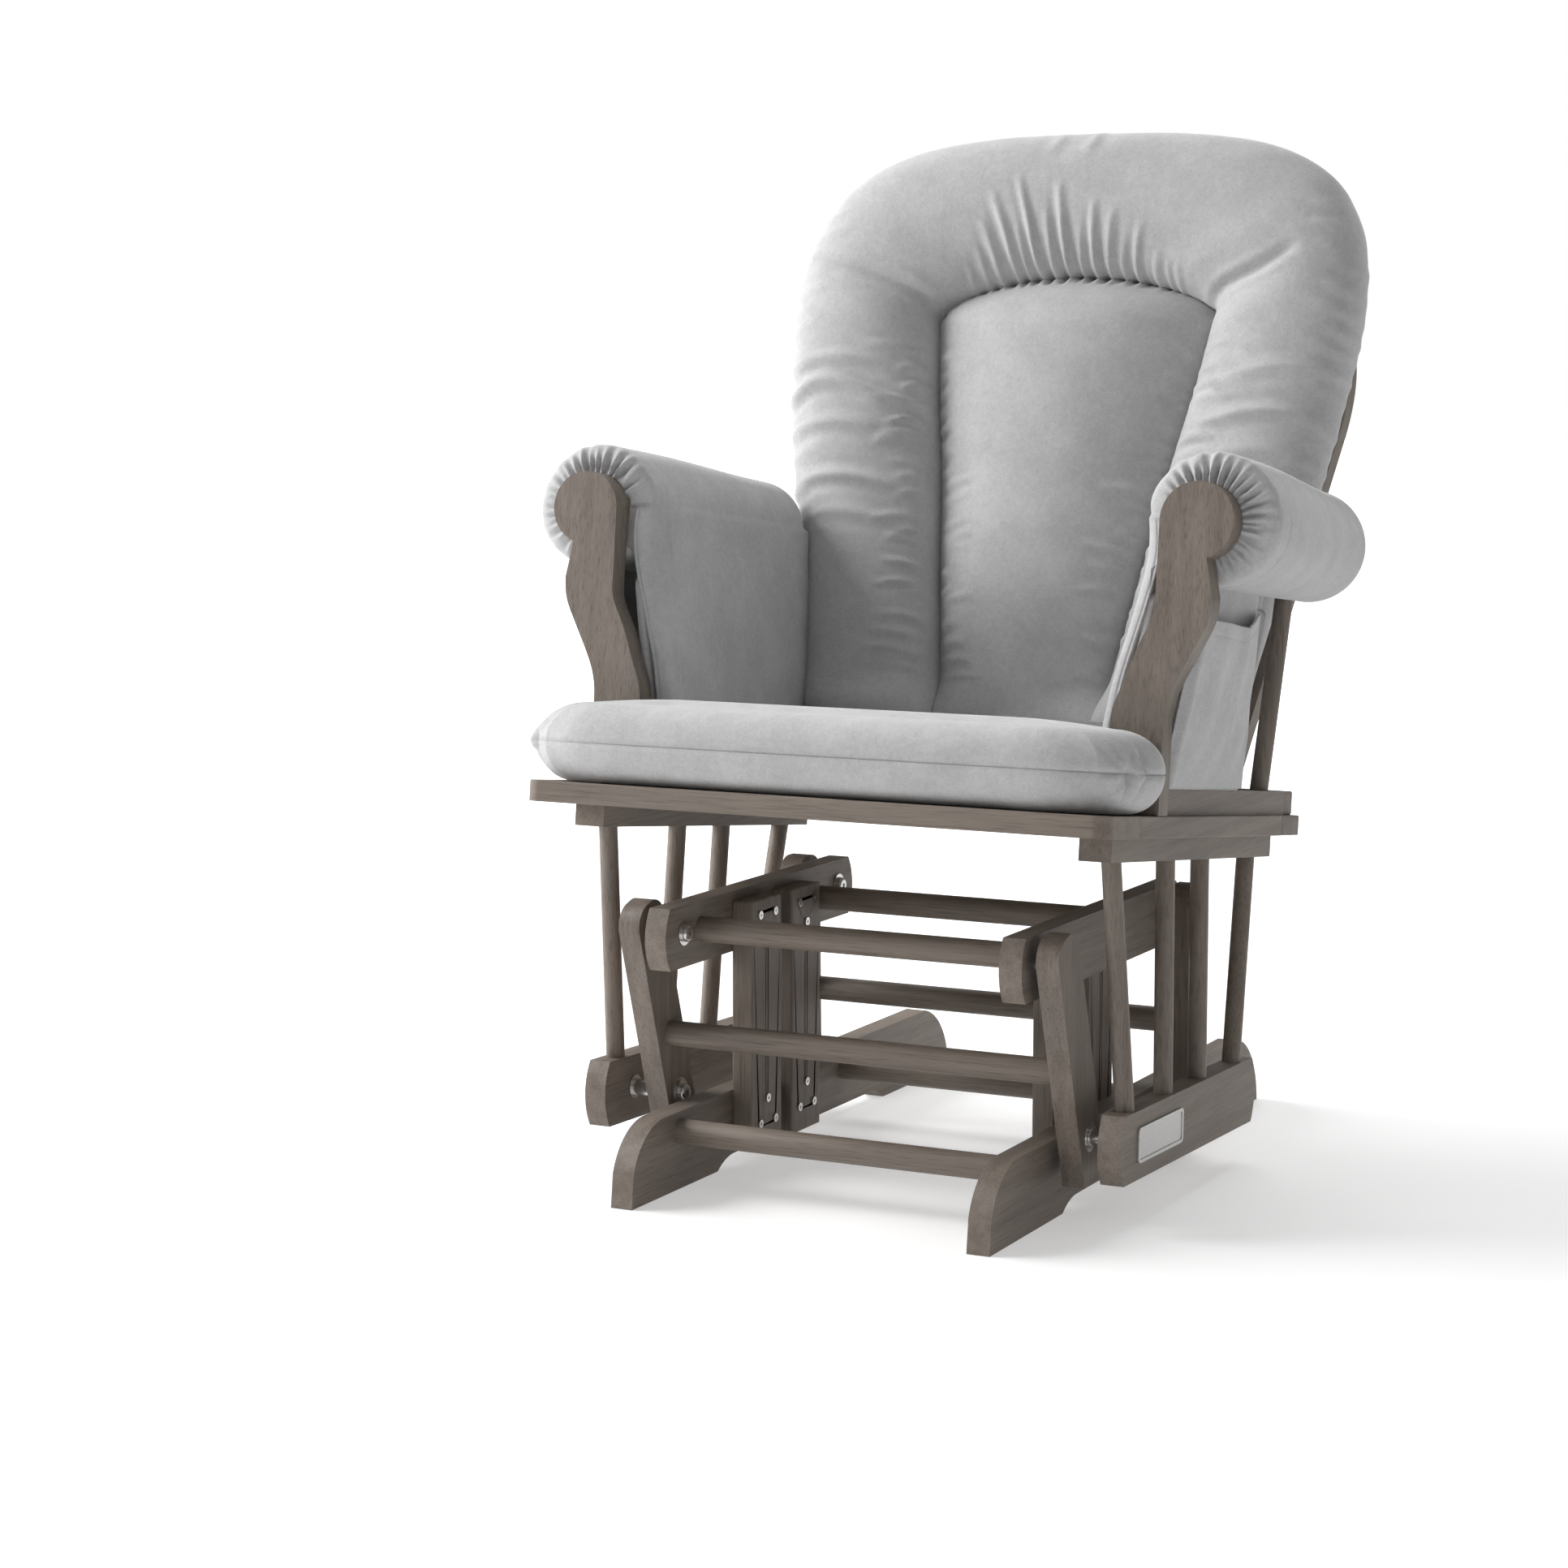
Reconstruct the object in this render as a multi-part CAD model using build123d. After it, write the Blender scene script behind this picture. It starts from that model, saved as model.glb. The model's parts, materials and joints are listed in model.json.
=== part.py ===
from build123d import *
import os
from math import cos, radians, sin, tan

# Glider nursery chair. Millimetres, +Z up, the sitter faces -Y.
# "left" is -X and "right" is +X. The chair is drawn with Y = 0 at the middle of the
# foot rails; ORIGIN_Y then puts the origin under the middle of the whole footprint.
ORIGIN_Y = 10.5

# Boards, dowels and gaps
BOARD = 21.0
DOWEL_R = 11.5
SPINDLE_R = 8.5
SOFT_GAP = 0.3

# Base frame
FOOT_HALF_LENGTH = 339.75
FOOT_HEIGHT = 71.0
FOOT_PAD = 161.0
FOOT_ARCH = 10.7
FOOT_ARCH_CURVE = 34.0
FOOT_TOP_Y = (-278.0, 280.0)
RAIL_OUT_X = 181.2
RAIL_IN_X = RAIL_OUT_X - BOARD
TOP_RAIL_FRONT_Y = -267.0
TOP_RAIL_LENGTH = 363.0
TOP_RAIL_Z = 200.8
TOP_RAIL_HEIGHT = 56.0
END_BOW = 9.0
POST_WIDTH = 60.0
POST_Y = {"front": -150.0, "rear": -69.0}
POST_Z = (14.0, 248.0)
FOOT_STRETCHERS = {"front": (-250.0, 52.5), "rear": (85.0, 48.0)}
TOP_STRETCHERS = {"front": (-210.0, 231.0), "rear": (14.0, 228.6)}
SCREW_HEAD_R = 4.0
SCREW_HEAD = 1.8
SCREW_SHANK_R = 2.0
SCREW_LENGTH = 32.0
SCREW_RECESS = (4.6, 0.9, 2.0)
WIDE_SCREW_OFFSETS = (15.0, 45.0)
SCREW_ROWS = [(234.0, WIDE_SCREW_OFFSETS), (214.0, (30.0,)), (60.0, (30.0,)), (38.0, WIDE_SCREW_OFFSETS)]

# Glide linkage, in the YZ plane, at rest
PIVOT_FRONT_TOP = (-243.0, 232.0)
PIVOT_REAR_TOP = (72.0, 232.0)
LINK_LENGTH = 165.0
FRONT_LINK_LEAN = 17.7
REAR_LINK_LEAN = 1.0
LINK_WIDTH = 48.0
LINK_TOP_END = 27.0
LINK_BOTTOM_END = 38.0
LINK_CORNER = 20.0
LINK_STRETCHER_DROP = 104.0
LINK_IN_X = 191.0
LINK_OUT_X = LINK_IN_X + BOARD
BOLT_R = 4.0
BOLT_HEAD_R = 7.5
BOLT_HEAD = 5.0
BOLT_HEAD_ROUND = 2.5
HEX_SOCKET_R = 2.4
HEX_SOCKET = 2.6
UPPER_BOLT_REACH = 13.5
LOWER_BOLT_GRIP = 16.0
WASHER_R = 11.0
WASHER = 1.6
COLLAR_R = 7.5
BEARING_R = 13.0
BEARING = 12.0
BEARING_RELIEF = 3.0
BEARING_RELIEF_R = 6.0
RUNNING_CLEARANCE = 0.05
OPEN_PIVOT_CLEARANCE = 2.4

# Moving lower rails
LOWER_RAIL_IN_X = 239.8
LOWER_RAIL_OUT_X = LOWER_RAIL_IN_X + BOARD
LOWER_RAIL_FRONT = (-239.0, 46.0)
LOWER_RAIL_LENGTH = 327.0
LOWER_RAIL_HEIGHT = 60.0
LOWER_RAIL_TILT = 1.67
SPINDLE_FOOT_Y = (-209.0, -118.0, -31.0, 59.0)
SPINDLE_HEAD_Y = (-233.0, -101.0, -13.0, 113.0)
SPINDLE_FOOT_X = 250.0
SPINDLE_HEAD_X = 243.0
SPINDLE_SOCKET = 12.0

# Deck, tilted down to the rear; u runs back along it and n stands up from its underside
DECK_TILT = 6.7
DECK_FRONT = (-326.0, 354.7)
DECK_LENGTH = 496.8
DECK_HALF_WIDTH = 276.0
DECK = 18.7
DECK_FRONT_BOARD = 75.0
DECK_REAR_BOARD = 50.0
DECK_SIDE_BOARD = 70.0
DECK_CORNER = 15.0
SEAT_PANEL_N = (4.0, 13.0)
BLOCK_OUT_X = 257.1
BLOCK_WIDTH = 29.4
BLOCK_U = (61.0, 472.0)

# Arms
POST_FRONT_U = 115.6
ARM_POST = 22.0
POST_REAR_U = POST_FRONT_U + ARM_POST
POST_FOOT_X = (228.0, 276.0)
POST_NECK_X = (262.5, 312.5)
SCROLL = (295.4, 268.0)
SCROLL_NOTCH = (306.0, 236.8)
POST_OUTER_BEND_N = (96.0, 204.0)
POST_INNER_BEND_N = (92.0, 196.0)
POST_EDGE_ROUND = 1.5
BASE_RAIL_X = (247.0, 269.0)
BASE_RAIL_HEIGHT = 22.3
BACK_RAIL_U = (470.0, 494.0)
ARM_SPINDLE_U = (215.0, 315.0, 430.0)
ARM_SPINDLE_FOOT_X = 256.0
ARM_SPINDLE_HEAD_X = 277.0
ARM_SPINDLE_LEAN = 6.0
ARM_RAIL_X = (262.0, 312.0)
ARM_RAIL_N = (258.0, 279.0)
ARM_RAIL_END_U = 455.0
ROLL = (288.0, 272.0)
ROLL_R = 52.0
ROLL_END_U = 456.0
ROLL_CAP = 26.0
INNER_PANEL_U = (146.0, 452.0)
OUTER_PANEL_U = (139.0, 307.0)
OUTER_PANEL_N = (43.0, 230.0)
OUTER_PANEL = 5.0
POCKET_U = (140.0, 302.0)
POCKET_MOUTH_N = 190.0
POCKET_OUT_X = 307.0
POCKET_CLOTH = 2.5

# Back, leaning; s runs up it and depth runs forward from its rear face
BACK_LEAN = 19.0
BACK_FOOT = (165.0, 330.0)
BACK_BOARD = 20.0
STILE_WIDTH = 42.0
STILE_FOOT_S = 12.0
STILE_BEND_S = 350.0
STILE_FOOT_X = 215.7
STILE_SPREAD = 0.183
CREST_OUTER_END = (262.0, 492.0)
CREST_INNER_END = (221.0, 480.0)
CREST_TOP_S = 600.0
CREST_UNDERSIDE_S = 556.0
CREST_SHOULDER = (196.0, 574.0)
CREST_HOLLOW = (160.0, 531.0)
SLAT_WIDTH = 34.0
SLAT_S = (12.0, 570.0)
SLAT_X = ((-108.0, -126.0), (-36.0, -42.0), (36.0, 42.0), (108.0, 126.0))
BACK_CUSHION = 74.0
BACK_CUSHION_BOTTOM_S = 30.0
BACK_CUSHION_TOP_S = 635.0
BACK_CUSHION_ROUND = 30.0

# Seat cushion
SEAT_CUSHION = 72.0
SEAT_HALF_WIDTH = 291.0
SEAT_REAR_HALF_WIDTH = 196.0
SEAT_FRONT_U = -8.0
SEAT_SHOULDER_U = 111.6
SEAT_REAR_U = 440.0
SEAT_CORNER = 26.0
SEAT_FRONT_ROUND = 22.0

# Blank plate on the right lower rail
PLATE = (110.0, 31.0)
PLATE_THICKNESS = 2.0
PLATE_RIM = 3.0
PLATE_FIELD_DEPTH = 0.8
PLATE_CORNER = 5.0
PLATE_MIDDLE = (84.0, 30.0)

SIDES = {"left": -1, "right": 1}
nodes = {}


def side_plane(x):
    """The YZ plane at x: local x runs along +Y and local y along +Z."""
    return Plane(origin=(x, 0, 0), x_dir=(0, 1, 0), z_dir=(1, 0, 0))


def tilted_side_plane(x, y, z, tilt):
    """A YZ plane at x whose local x runs back and down by tilt degrees from (y, z)."""
    return Plane(origin=(x, y, z), x_dir=(0, cos(radians(tilt)), -sin(radians(tilt))), z_dir=(1, 0, 0))


def deck_plane(u=0.0, n=0.0):
    """The deck's own frame: local x is +X, local y runs back, local z stands up from it."""
    tilt = radians(DECK_TILT)
    back = Vector(0, cos(tilt), -sin(tilt))
    up = Vector(0, sin(tilt), cos(tilt))
    origin = Vector(0, *DECK_FRONT) + back * u + up * n
    return Plane(origin=origin, x_dir=(1, 0, 0), z_dir=up)


def deck_section(u):
    """The cross-section plane at u: local x is -X, local y is n, and it faces the rear."""
    tilt = radians(DECK_TILT)
    base = deck_plane(u)
    return Plane(origin=base.origin, x_dir=(-1, 0, 0), z_dir=(0, cos(tilt), -sin(tilt)))


def deck_point(x, u, n):
    """A point given across, along and above the deck."""
    return deck_plane(u, n).origin + Vector(x, 0, 0)


def back_plane(depth):
    """The back's frame, depth forward of its rear face: local x is +X, local y runs up it."""
    lean = radians(BACK_LEAN)
    forward = Vector(0, -cos(lean), sin(lean))
    origin = Vector(0, *BACK_FOOT) + forward * depth
    return Plane(origin=origin, x_dir=(1, 0, 0), z_dir=forward)


def rod(start, end, radius):
    """A round bar between two points."""
    start = Vector(*start)
    along = Vector(*end) - start
    return extrude(Plane(origin=start, z_dir=along) * Circle(radius), along.length)


def x_rod(low_x, high_x, point, radius):
    """A round bar along X through a (y, z) point."""
    return rod((low_x, *point), (high_x, *point), radius)


def span(side, near_x, far_x):
    """The two X values, low first, of something between near_x and far_x on a side."""
    return sorted((side * near_x, side * far_x))


def deck_box(x_span, u_span, n_span):
    """A straight block in the deck's frame."""
    size = (x_span[1] - x_span[0], u_span[1] - u_span[0], n_span[1] - n_span[0])
    middle = Pos(sum(x_span) / 2, sum(u_span) / 2, sum(n_span) / 2)
    return deck_plane() * middle * Box(*size)


def bowed_profile(length, height, bow):
    """A board's side face: straight edges, and ends bowed out by an arc."""
    edges = [
        Line((0, 0), (length, 0)),
        ThreePointArc((length, 0), (length + bow, height / 2), (length, height)),
        Line((length, height), (0, height)),
        ThreePointArc((0, height), (-bow, height / 2), (0, 0)),
    ]
    return make_face(edges)


def down_link(pivot, lean, drop):
    """The point this far down a hanging link that leans back by lean degrees."""
    return (pivot[0] + drop * sin(radians(lean)), pivot[1] - drop * cos(radians(lean)))


PIVOT_FRONT_BOTTOM = down_link(PIVOT_FRONT_TOP, FRONT_LINK_LEAN, LINK_LENGTH)
PIVOT_REAR_BOTTOM = down_link(PIVOT_REAR_TOP, REAR_LINK_LEAN, LINK_LENGTH)


def foot_profile():
    """A foot rail's side face: curved front and rear ends, and a low arch between two pads."""
    arch_y = FOOT_HALF_LENGTH - FOOT_PAD
    arch_flat_y = arch_y - FOOT_ARCH_CURVE
    front_y, rear_y = FOOT_TOP_Y
    edges = [
        Line((-FOOT_HALF_LENGTH, 0), (-arch_y, 0)),
        ThreePointArc((-arch_y, 0), (-arch_y + 14, 7.5), (-arch_flat_y, FOOT_ARCH)),
        Line((-arch_flat_y, FOOT_ARCH), (arch_flat_y, FOOT_ARCH)),
        ThreePointArc((arch_flat_y, FOOT_ARCH), (arch_y - 14, 7.5), (arch_y, 0)),
        Line((arch_y, 0), (FOOT_HALF_LENGTH, 0)),
        ThreePointArc((FOOT_HALF_LENGTH, 0), (322, 46), (rear_y, FOOT_HEIGHT)),
        Line((rear_y, FOOT_HEIGHT), (front_y, FOOT_HEIGHT)),
        ThreePointArc((front_y, FOOT_HEIGHT), (-315, 59), (-336, 30)),
        Line((-336, 30), (-FOOT_HALF_LENGTH, 0)),
    ]
    return make_face(edges)


def link_profile(pivot, lean):
    """A link's side face in its own lean: two rounded top corners and a flat bottom."""
    height = LINK_TOP_END + LINK_LENGTH + LINK_BOTTOM_END
    forward = (0, cos(radians(lean)), sin(radians(lean)))
    plane = Plane(origin=(0, *pivot), x_dir=forward, z_dir=(1, 0, 0))
    blank = Pos(0, LINK_TOP_END - height / 2) * Rectangle(LINK_WIDTH, height)
    corners = blank.vertices().sort_by(Axis.Y)[-2:]
    return plane * fillet(corners, LINK_CORNER)


def group(shapes):
    """Separate solids kept together as one node."""
    return Compound([solid for shape in shapes for solid in shape.solids()])


def make_post_screws():
    """Cross-head screws that hold the inner posts to the rails."""
    screws = []
    head_x = RAIL_IN_X - BOARD
    for side in SIDES.values():
        for front_y in POST_Y.values():
            for z, offsets in SCREW_ROWS:
                for offset in offsets:
                    screws.append(screw(side, head_x, (front_y + offset, z)))
    return screws


def screw(side, head_x, point):
    """One domed screw, its head against the post's inner face, with a crossed recess."""
    low, high = span(side, head_x - SCREW_HEAD, head_x)
    head = x_rod(low, high, point, SCREW_HEAD_R)
    tip_low, tip_high = span(side, head_x, head_x + SCREW_LENGTH)
    face = Plane(origin=(side * (head_x - SCREW_HEAD), *point), z_dir=(side, 0, 0))
    slot = Box(*SCREW_RECESS)
    recess = face * slot + face * Rot(0, 0, 90) * slot
    return head + x_rod(tip_low, tip_high, point, SCREW_SHANK_R) - recess


def inner_posts(side):
    """The two upright boards inside the rails of one side."""
    low = span(side, RAIL_IN_X - BOARD, RAIL_IN_X)[0]
    posts = []
    for front_y in POST_Y.values():
        middle = (front_y + POST_WIDTH / 2, sum(POST_Z) / 2)
        face = Pos(*middle) * Rectangle(POST_WIDTH, POST_Z[1] - POST_Z[0])
        posts.append(extrude(side_plane(low) * face, BOARD))
    return posts


def make_base():
    """Foot rails, top rails, inner posts, stretchers and their screws."""
    screws = make_post_screws()
    uppers = upper_bolts()
    dowels = {}
    for end, point in FOOT_STRETCHERS.items():
        dowels["foot_stretcher_" + end] = x_rod(-RAIL_IN_X, RAIL_IN_X, point, DOWEL_R)
    for end, point in TOP_STRETCHERS.items():
        dowels["top_stretcher_" + end] = x_rod(-RAIL_IN_X, RAIL_IN_X, point, DOWEL_R)
    top_face = bowed_profile(TOP_RAIL_LENGTH, TOP_RAIL_HEIGHT, END_BOW)
    top_face = Pos(TOP_RAIL_FRONT_Y, TOP_RAIL_Z) * top_face
    for name, side in SIDES.items():
        low = span(side, RAIL_IN_X, RAIL_OUT_X)[0]
        nodes["foot_rail_" + name] = extrude(side_plane(low) * foot_profile(), BOARD) - screws
        nodes["top_rail_" + name] = extrude(side_plane(low) * top_face, BOARD) - screws - uppers
        nodes["inner_posts_" + name] = group(post - screws for post in inner_posts(side))
    nodes.update(dowels)
    nodes["post_screws"] = group(screws)


def domed_head(side, face_x, point):
    """A bolt head that stands inward from face_x, with a rounded rim and a hex socket."""
    low, high = span(side, face_x - BOLT_HEAD, face_x)
    head = x_rod(low, high, point, BOLT_HEAD_R)
    rim = head.faces().sort_by(Axis.X)[0 if side > 0 else -1].edges()
    socket = Plane(origin=(side * (face_x - BOLT_HEAD), *point), z_dir=(side, 0, 0))
    return fillet(rim, BOLT_HEAD_ROUND) - extrude(socket * RegularPolygon(HEX_SOCKET_R, 6), HEX_SOCKET)


def upper_bolts():
    """The fixed bolts that the links hang from, as solids."""
    bolts = []
    for side in SIDES.values():
        for point in (PIVOT_FRONT_TOP, PIVOT_REAR_TOP):
            face_x = RAIL_IN_X - WASHER
            low, high = span(side, face_x, LINK_IN_X + UPPER_BOLT_REACH)
            bolts.append(domed_head(side, face_x, point) + x_rod(low, high, point, BOLT_R))
    return bolts


def ring(low, high, point, outer, inner):
    """A flat ring about an X axis."""
    return x_rod(low, high, point, outer) - x_rod(low - 1, high + 1, point, inner)


def make_upper_pivots():
    """Bolts, washers under their heads, and collars between the top rails and links."""
    washers = []
    collars = []
    for side in SIDES.values():
        for point in (PIVOT_FRONT_TOP, PIVOT_REAR_TOP):
            low, high = span(side, RAIL_IN_X - WASHER, RAIL_IN_X)
            washers.append(ring(low, high, point, WASHER_R, BOLT_R))
            low, high = span(side, RAIL_OUT_X, LINK_IN_X - SOFT_GAP)
            collars.append(ring(low, high, point, COLLAR_R, BOLT_R))
    nodes["upper_pivot_bolts"] = group(upper_bolts())
    nodes["upper_pivot_washers"] = group(washers)
    nodes["upper_pivot_collars"] = group(collars)


def make_links(name, pivot, lean, bottom_clearance):
    """One pair of hanging links, their stretcher and the bearings pressed into them."""
    bottom = down_link(pivot, lean, LINK_LENGTH)
    bearings = []
    profile = link_profile(pivot, lean)
    for side_name, side in SIDES.items():
        low, high = span(side, LINK_IN_X, LINK_OUT_X)
        link = extrude(Pos(low, 0, 0) * profile, BOARD)
        pocket = span(side, LINK_IN_X, LINK_IN_X + BEARING)
        relief = span(side, LINK_IN_X, LINK_IN_X + BEARING + BEARING_RELIEF)
        link -= x_rod(*pocket, pivot, BEARING_R)
        link -= x_rod(*relief, pivot, BEARING_RELIEF_R)
        link -= x_rod(low, high, bottom, BEARING_R)
        nodes[f"{name}_link_{side_name}"] = link
        bearings.append(ring(*pocket, pivot, BEARING_R, BOLT_R + RUNNING_CLEARANCE))
        bearings.append(ring(low, high, bottom, BEARING_R, BOLT_R + bottom_clearance))
    nodes[name + "_link_bearings"] = group(bearings)
    stretcher = down_link(pivot, lean, LINK_STRETCHER_DROP)
    nodes[name + "_link_stretcher"] = x_rod(-LINK_IN_X, LINK_IN_X, stretcher, DOWEL_R)


def lower_bolts():
    """The bolts from inside the links into the lower rails, as solids."""
    bolts = []
    for side in SIDES.values():
        for point in (PIVOT_FRONT_BOTTOM, PIVOT_REAR_BOTTOM):
            face_x = LINK_IN_X - SOFT_GAP - WASHER
            low, high = span(side, face_x, LOWER_RAIL_IN_X + LOWER_BOLT_GRIP)
            bolts.append(domed_head(side, face_x, point) + x_rod(low, high, point, BOLT_R))
    return bolts


def make_lower_pivots():
    """Bolts, inner and outer washers, and collars between links and lower rails."""
    washers = []
    collars = []
    for side in SIDES.values():
        for point in (PIVOT_FRONT_BOTTOM, PIVOT_REAR_BOTTOM):
            inner = span(side, LINK_IN_X - SOFT_GAP - WASHER, LINK_IN_X - SOFT_GAP)
            outer = span(side, LOWER_RAIL_IN_X - WASHER, LOWER_RAIL_IN_X)
            collar = span(side, LINK_OUT_X + SOFT_GAP, LOWER_RAIL_IN_X - WASHER)
            washers.append(ring(*inner, point, WASHER_R, BOLT_R))
            washers.append(ring(*outer, point, WASHER_R, BOLT_R))
            collars.append(ring(*collar, point, COLLAR_R, BOLT_R))
    nodes["lower_pivot_bolts"] = group(lower_bolts())
    nodes["lower_pivot_washers"] = group(washers)
    nodes["lower_pivot_collars"] = group(collars)


def lower_rail_top(y):
    """Height of the lower rail's top edge at y."""
    front_y, front_z = LOWER_RAIL_FRONT
    tilt = radians(LOWER_RAIL_TILT)
    return front_z + LOWER_RAIL_HEIGHT / cos(tilt) - (y - front_y) * sin(tilt)


def deck_underside(y):
    """Height of the deck's underside at y."""
    front_y, front_z = DECK_FRONT
    return front_z - (y - front_y) * tan(radians(DECK_TILT))


def support_spindles(side):
    """The four spindles of one side; the first and last splay out towards the top."""
    rods = []
    for foot_y, head_y in zip(SPINDLE_FOOT_Y, SPINDLE_HEAD_Y):
        foot = (side * SPINDLE_FOOT_X, foot_y, lower_rail_top(foot_y) - SPINDLE_SOCKET)
        head = (side * SPINDLE_HEAD_X, head_y, deck_underside(head_y) - SPINDLE_SOCKET)
        rods.append(rod(foot, head, SPINDLE_R))
    return rods


def make_undercarriage():
    """Lower rails, the spindles on them, and the blocks that carry the deck."""
    bolts = lower_bolts()
    for name, side in SIDES.items():
        spindles = support_spindles(side)
        low = span(side, LOWER_RAIL_IN_X, LOWER_RAIL_OUT_X)[0]
        plane = tilted_side_plane(low, *LOWER_RAIL_FRONT, LOWER_RAIL_TILT)
        profile = bowed_profile(LOWER_RAIL_LENGTH, LOWER_RAIL_HEIGHT, END_BOW)
        rail = extrude(plane * profile, BOARD)
        block_x = span(side, BLOCK_OUT_X - BLOCK_WIDTH, BLOCK_OUT_X)
        block = deck_box(block_x, BLOCK_U, (-BOARD, 0))
        nodes["lower_rail_" + name] = rail - spindles - bolts
        nodes["support_block_" + name] = block - spindles
        nodes["support_spindles_" + name] = group(spindles)


def make_deck():
    """Front, rear and side boards of the seat deck, and the panel set into it."""
    side_end = DECK_LENGTH - DECK_REAR_BOARD
    front = Pos(0, DECK_FRONT_BOARD / 2) * Rectangle(2 * DECK_HALF_WIDTH, DECK_FRONT_BOARD)
    front = fillet(front.vertices().sort_by(Axis.Y)[:2], DECK_CORNER)
    rear_x = (-DECK_HALF_WIDTH, DECK_HALF_WIDTH)
    nodes["deck_front_board"] = extrude(deck_plane() * front, DECK)
    nodes["deck_rear_board"] = deck_box(rear_x, (side_end, DECK_LENGTH), (0, DECK))
    inner_x = DECK_HALF_WIDTH - DECK_SIDE_BOARD
    for name, side in SIDES.items():
        x_span = span(side, inner_x, DECK_HALF_WIDTH)
        nodes["deck_side_board_" + name] = deck_box(x_span, (DECK_FRONT_BOARD, side_end), (0, DECK))
    panel_x = (-inner_x, inner_x)
    nodes["seat_support_panel"] = deck_box(panel_x, (DECK_FRONT_BOARD, side_end), SEAT_PANEL_N)


def arm_post_profile():
    """A front post's face: a straight foot, an S-bend outward and a scrolled top."""
    in_x, out_x = POST_FOOT_X
    neck_in, neck_out = POST_NECK_X
    scroll_x, scroll_n = SCROLL
    out_low, out_high = POST_OUTER_BEND_N
    in_low, in_high = POST_INNER_BEND_N
    scroll_side = (scroll_x + 24, scroll_n + 22.65)
    scroll_in = (neck_in, scroll_n + 2)
    up = [(0, 1), (0, 1)]
    down = [(0, -1), (0, -1)]
    edges = [
        Line((in_x, DECK), (out_x, DECK)),
        Line((out_x, DECK), (out_x, out_low)),
        Spline([(out_x, out_low), (288.5, 140), (305, 172), (neck_out, out_high)], tangents=up),
        Line((neck_out, out_high), SCROLL_NOTCH),
        ThreePointArc(SCROLL_NOTCH, scroll_side, scroll_in),
        Line(scroll_in, (neck_in, in_high)),
        Spline([(neck_in, in_high), (254, 171), (237, 128), (in_x, in_low)], tangents=down),
        Line((in_x, in_low), (in_x, DECK)),
    ]
    return make_face(edges)


def arm_spindles(side):
    """Round spindles between the arm's base rail and its top rail."""
    rods = []
    for u in ARM_SPINDLE_U:
        foot_n = DECK + BASE_RAIL_HEIGHT - SPINDLE_SOCKET
        head_n = ARM_RAIL_N[0] + SPINDLE_SOCKET
        foot = deck_point(side * ARM_SPINDLE_FOOT_X, u, foot_n)
        head = deck_point(side * ARM_SPINDLE_HEAD_X, u - ARM_SPINDLE_LEAN, head_n)
        rods.append(rod(foot, head, SPINDLE_R))
    return rods


def on_side(side, profile):
    """A profile drawn for the right arm, mirrored for the left one."""
    return profile if side > 0 else mirror(profile, Plane.YZ)


def section_extrude(side, profile, start_u, end_u):
    """Extrude an arm's cross-section, drawn as (x, n), along the deck."""
    plane = deck_section(start_u)
    drawn = mirror(profile, Plane.YZ)
    return extrude(plane * on_side(side, drawn), end_u - start_u)


def make_arm(name, side):
    """One arm's post, rails and spindles; the pads that need them are cut to suit."""
    spindles = arm_spindles(side)
    base_x = span(side, *BASE_RAIL_X)
    rail_x = span(side, *ARM_RAIL_X)
    base_n = (DECK, DECK + BASE_RAIL_HEIGHT)
    base = deck_box(base_x, (POST_REAR_U, BACK_RAIL_U[0]), base_n)
    rail = deck_box(rail_x, (POST_REAR_U, ARM_RAIL_END_U), ARM_RAIL_N)
    post = section_extrude(side, arm_post_profile(), POST_FRONT_U, POST_REAR_U)
    front_edges = post.faces().sort_by(Axis.Y)[0].outer_wire().edges()
    nodes["arm_post_" + name] = fillet(front_edges, POST_EDGE_ROUND)
    nodes["arm_base_rail_" + name] = base - spindles
    nodes["arm_top_rail_" + name] = rail - spindles
    nodes["arm_spindles_" + name] = group(spindles)
    nodes["arm_roll_pad_" + name] = arm_roll(side) - rail - spindles
    make_arm_panels(name, side)


def arm_roll(side, grow=0.0):
    """The padded roll on an arm: a cylinder along the deck with a domed rear end."""
    radius = ROLL_R + grow
    plane = deck_section(POST_REAR_U)
    at_side = Pos(-side * ROLL[0], ROLL[1])
    body = extrude(plane * at_side * Circle(radius), ROLL_END_U - POST_REAR_U)
    cap = scale(Sphere(radius), (1, 1, (ROLL_CAP + grow) / radius))
    return body + deck_section(ROLL_END_U) * Pos(-side * ROLL[0], ROLL[1], 0) * cap


def inner_panel_face():
    """The inner panel's section, leaning outward as it rises to the roll."""
    inside = [(200, 28), (209, 92), (222, 165), (234, 240)]
    outside = [(256, 236), (243, 150), (226, 60), (216, 28)]
    return make_face(Polyline(*inside, *outside, close=True))


def outer_panel_face():
    """The outer panel's section: a thin strip between two matching curves."""
    low, high = OUTER_PANEL_N
    near = [(269.5, low), (287, 150), (292, high)]
    far = [(x + OUTER_PANEL, n) for x, n in near]
    edges = [Spline(near), Line(near[-1], far[-1]), Spline(far[::-1]), Line(far[0], near[0])]
    return make_face(edges)


def make_arm_panels(name, side):
    """The padded inner panel, the thin outer panel and the open pocket on it."""
    inner = section_extrude(side, inner_panel_face(), *INNER_PANEL_U)
    outer = section_extrude(side, outer_panel_face(), *OUTER_PANEL_U)
    roll = arm_roll(side, SOFT_GAP)
    nodes["arm_inner_panel_" + name] = inner - roll
    nodes["arm_outer_panel_" + name] = outer - roll
    nodes["arm_pocket_" + name] = arm_pocket(side) - outer


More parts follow.
